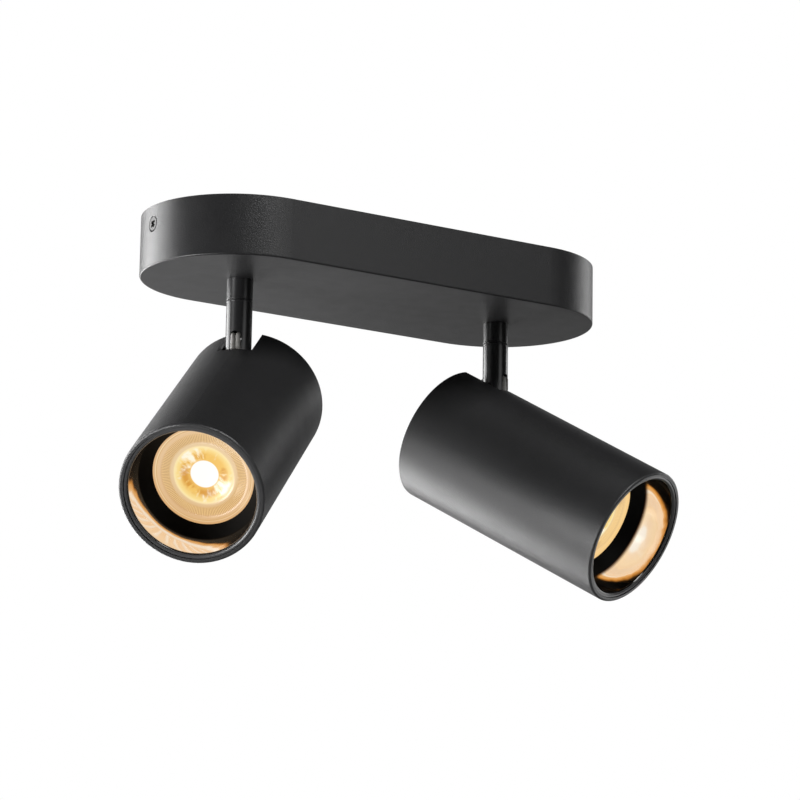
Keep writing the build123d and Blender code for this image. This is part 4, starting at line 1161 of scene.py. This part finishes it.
def smooth_line(points):
    """Points along a NURBS curve of order 3 that has the given points as its controls."""
    curve = bpy.data.curves.new("route", "CURVE")
    curve.dimensions = "3D"
    curve.resolution_u = LINE_STEPS
    spline = curve.splines.new("NURBS")
    spline.points.add(len(points) - 1)
    spline.points.foreach_set("co", np.hstack([points, np.ones((len(points), 1))]).ravel())
    spline.order_u = 3
    spline.use_endpoint_u = True
    holder = bpy.data.objects.new("route", curve)
    mesh = bpy.data.meshes.new_from_object(holder)
    line = np.empty(len(mesh.vertices) * 3)
    mesh.vertices.foreach_get("co", line)
    bpy.data.objects.remove(holder)
    bpy.data.meshes.remove(mesh)
    bpy.data.curves.remove(curve)
    return line.reshape(-1, 3)


def tube(name, route, radius, material):
    """Ring points = line + radius * (cos(turn) * normal + sin(turn) * binormal), closed at both ends by a
    pole. The normal is square to the line and to the direction that the line stays furthest from."""
    line = smooth_line(np.array(route))
    tangent = np.gradient(line, axis=0)
    tangent /= np.linalg.norm(tangent, axis=1, keepdims=True)
    square = [[1, 0, 0], [0, 1, 0], [0, 0, 1]]
    slanting = [[1, 1, 0], [1, -1, 0], [1, 1, 1], [1, -1, 1], [-1, 1, 1]]
    candidates = np.array(square + slanting, float)
    candidates /= np.linalg.norm(candidates, axis=1, keepdims=True)
    steady = candidates[np.argmin(np.abs(candidates @ tangent.T).max(axis=1))]
    normal = np.cross(tangent, steady)
    normal /= np.linalg.norm(normal, axis=1, keepdims=True)
    binormal = np.cross(tangent, normal)
    turn = np.linspace(0.0, 2 * np.pi, LEAD_COLUMNS, endpoint=False)
    ring = np.cos(turn)[None, :, None] * normal[:, None] + np.sin(turn)[None, :, None] * binormal[:, None]
    ends = np.r_[0, np.arange(len(line)), len(line) - 1]
    reach = np.r_[0.0, np.full(len(line), radius), 0.0]
    points = line[ends][:, None] + reach[:, None, None] * ring[ends]
    length = np.r_[0.0, np.cumsum(np.linalg.norm(np.diff(line, axis=0), axis=1))]
    return surface(name, points, [material], length[ends]), length[-1]


print("a lead has", LEAD_COLUMNS, "columns and", LINE_STEPS, "steps between two controls")

# %% Lamp leads
JOINT_LEVEL = -16.5 * MM
PIVOT_LEVEL = spots[0].pivot[2]
LEAD_HALF_SPACING = 1.17 * MM
LEAD_IN_BORE = 1.0 * MM
LEAD_IN_FRONT = 5.0 * MM
SLEEVED_RADIUS = 1.13 * MM  # a second sleeve keeps the lamp's heat off
ENTRY_RISE = 17.05 * MM  # where the leads reach the inside of the head
ENTRY_HALF_SPACING = 5.0 * MM
ENTRY_ALONG = 25.0 * MM
HOLDER_RISE = 2.0 * MM
HOLDER_HALF_SPACING = 10.5 * MM
HOLDER_BACK = 33.9 * MM
BEND_DROP = 1.0 * MM  # below the pin, where the bend begins
for spot in spots:
    pair = []
    for way in (-1.0, 1.0):
        across = way * LEAD_HALF_SPACING
        route = [
            spot.in_stem(LEAD_IN_BORE, across, JOINT_LEVEL),
            spot.in_stem(LEAD_IN_BORE, across, PIVOT_LEVEL + 24.0 * MM),
            spot.in_stem(LEAD_IN_BORE, across, PIVOT_LEVEL + 7.4 * MM),
            spot.in_stem(LEAD_IN_BORE, across, PIVOT_LEVEL + 4.4 * MM),
            spot.in_stem(LEAD_IN_FRONT, across, PIVOT_LEVEL + 5.0 * MM),
            spot.in_stem(LEAD_IN_FRONT, across, PIVOT_LEVEL + 2.6 * MM),
            spot.in_stem(LEAD_IN_FRONT, across, PIVOT_LEVEL - 5.85 * MM),
            spot.in_head(ENTRY_RISE, way * ENTRY_HALF_SPACING, ENTRY_ALONG),
            spot.in_head(HOLDER_RISE, way * HOLDER_HALF_SPACING, ENTRY_ALONG),
            spot.in_head(HOLDER_RISE, way * HOLDER_HALF_SPACING, HOLDER_BACK),
        ]
        lead, length = tube(f"lamp_lead_{spot.side}_{len(pair)}", route, SLEEVED_RADIUS, lead_sleeve)
        pair.append(lead)
    lamp_leads = joined(f"lamp_lead_pair_{spot.side}", pair)
    bend_start = spot.in_stem(LEAD_IN_FRONT, 0.0, PIVOT_LEVEL - BEND_DROP)
    bend_end = spot.in_head(ENTRY_RISE, 0.0, ENTRY_ALONG)
    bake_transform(lamp_leads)
    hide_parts(f"lamp_leads_{spot.side}")
    print(lamp_leads.name, "each", round(length / MM, 1), "mm long")

# %% [markdown]
# ## Leads in the canopy
# From the terminal block two leads go to each stem, one high and one low, so that they cross with air between.
# They end in the swivel, and their mesh is set where it stands and tied to no body. The striped earth lead goes
# from the block to the brass screw on the bracket.

# %% Canopy leads
POLE_LEVEL = -5.1 * MM
POLE_PITCH = 12.5 * MM
POLE_LANE = 0.915 * MM
TOWER_OFFSET = 5.0 * MM
BLOCK_EDGE = 9.0 * MM
STEM_OFFSET = 68.8 * MM
HIGH_LEVEL = JOINT_LEVEL + 7.0 * MM
LOW_LEVEL = JOINT_LEVEL + 4.5 * MM
LOW_TURN = {"left": 10.0 * MM, "right": 21.0 * MM}
LEAD_RUN_OUT = 6.0 * MM
HIGH_LANE = BLOCK_EDGE + 8.0 * MM
LOW_LANE = BLOCK_EDGE + 14.0 * MM
LOW_BEND_SHARE = 0.6  # of the way out to the stem
for spot in spots:
    way = -1.0 if spot.side == "left" else 1.0
    high_end = spot.in_stem(LEAD_IN_BORE, -way * LEAD_HALF_SPACING, 0.0)
    low_end = spot.in_stem(LEAD_IN_BORE, way * LEAD_HALF_SPACING, 0.0)
    high_x = way * (POLE_PITCH + POLE_LANE)
    low_x = way * (POLE_LANE - POLE_PITCH)
    turn_out = BLOCK_EDGE + LOW_TURN[spot.side]
    high_route = [
        (high_x, TOWER_OFFSET, POLE_LEVEL),
        (high_x, BLOCK_EDGE + LEAD_RUN_OUT, POLE_LEVEL),
        (way * STEM_OFFSET / 2, HIGH_LANE, HIGH_LEVEL),
        (high_end[0], high_end[1], HIGH_LEVEL),
        (high_end[0], high_end[1], JOINT_LEVEL),
    ]
    low_route = [
        (low_x, TOWER_OFFSET, POLE_LEVEL),
        (low_x, turn_out, POLE_LEVEL),
        (-low_x, turn_out + LEAD_RUN_OUT, LOW_LEVEL),
        (way * STEM_OFFSET * LOW_BEND_SHARE, LOW_LANE, LOW_LEVEL),
        (low_end[0], low_end[1], LOW_LEVEL),
        (low_end[0], low_end[1], JOINT_LEVEL),
    ]
    pair = []
    for route in (high_route, low_route):
        lead, length = tube(f"canopy_lead_{spot.side}_{len(pair)}", route, LEAD_RADIUS, lead_sleeve)
        pair.append(lead)
        print(lead.name, round(length / MM, 1), "mm long")
    canopy_leads = joined(f"canopy_lead_pair_{spot.side}", pair)
    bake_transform(canopy_leads)
    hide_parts(f"canopy_leads_{spot.side}")

# %% Earth lead
EARTH_X = -24.0 * MM
EARTH_LANE = -14.0 * MM
EARTH_LEVEL = -2.7 * MM
EARTH_HEAD = 3.6 * MM
earth_route = [
    (0.0, -TOWER_OFFSET, POLE_LEVEL),
    (0.0, EARTH_LANE, POLE_LEVEL),
    (EARTH_X, EARTH_LANE, EARTH_LEVEL),
    (EARTH_X, -EARTH_HEAD, EARTH_LEVEL),
]
earth_lead, length = tube("earth_lead_sleeved", earth_route, LEAD_RADIUS, earth_sleeve)
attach(earth_lead, "canopy")
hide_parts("earth_lead")
print(earth_lead.name, round(length / MM, 1), "mm long")
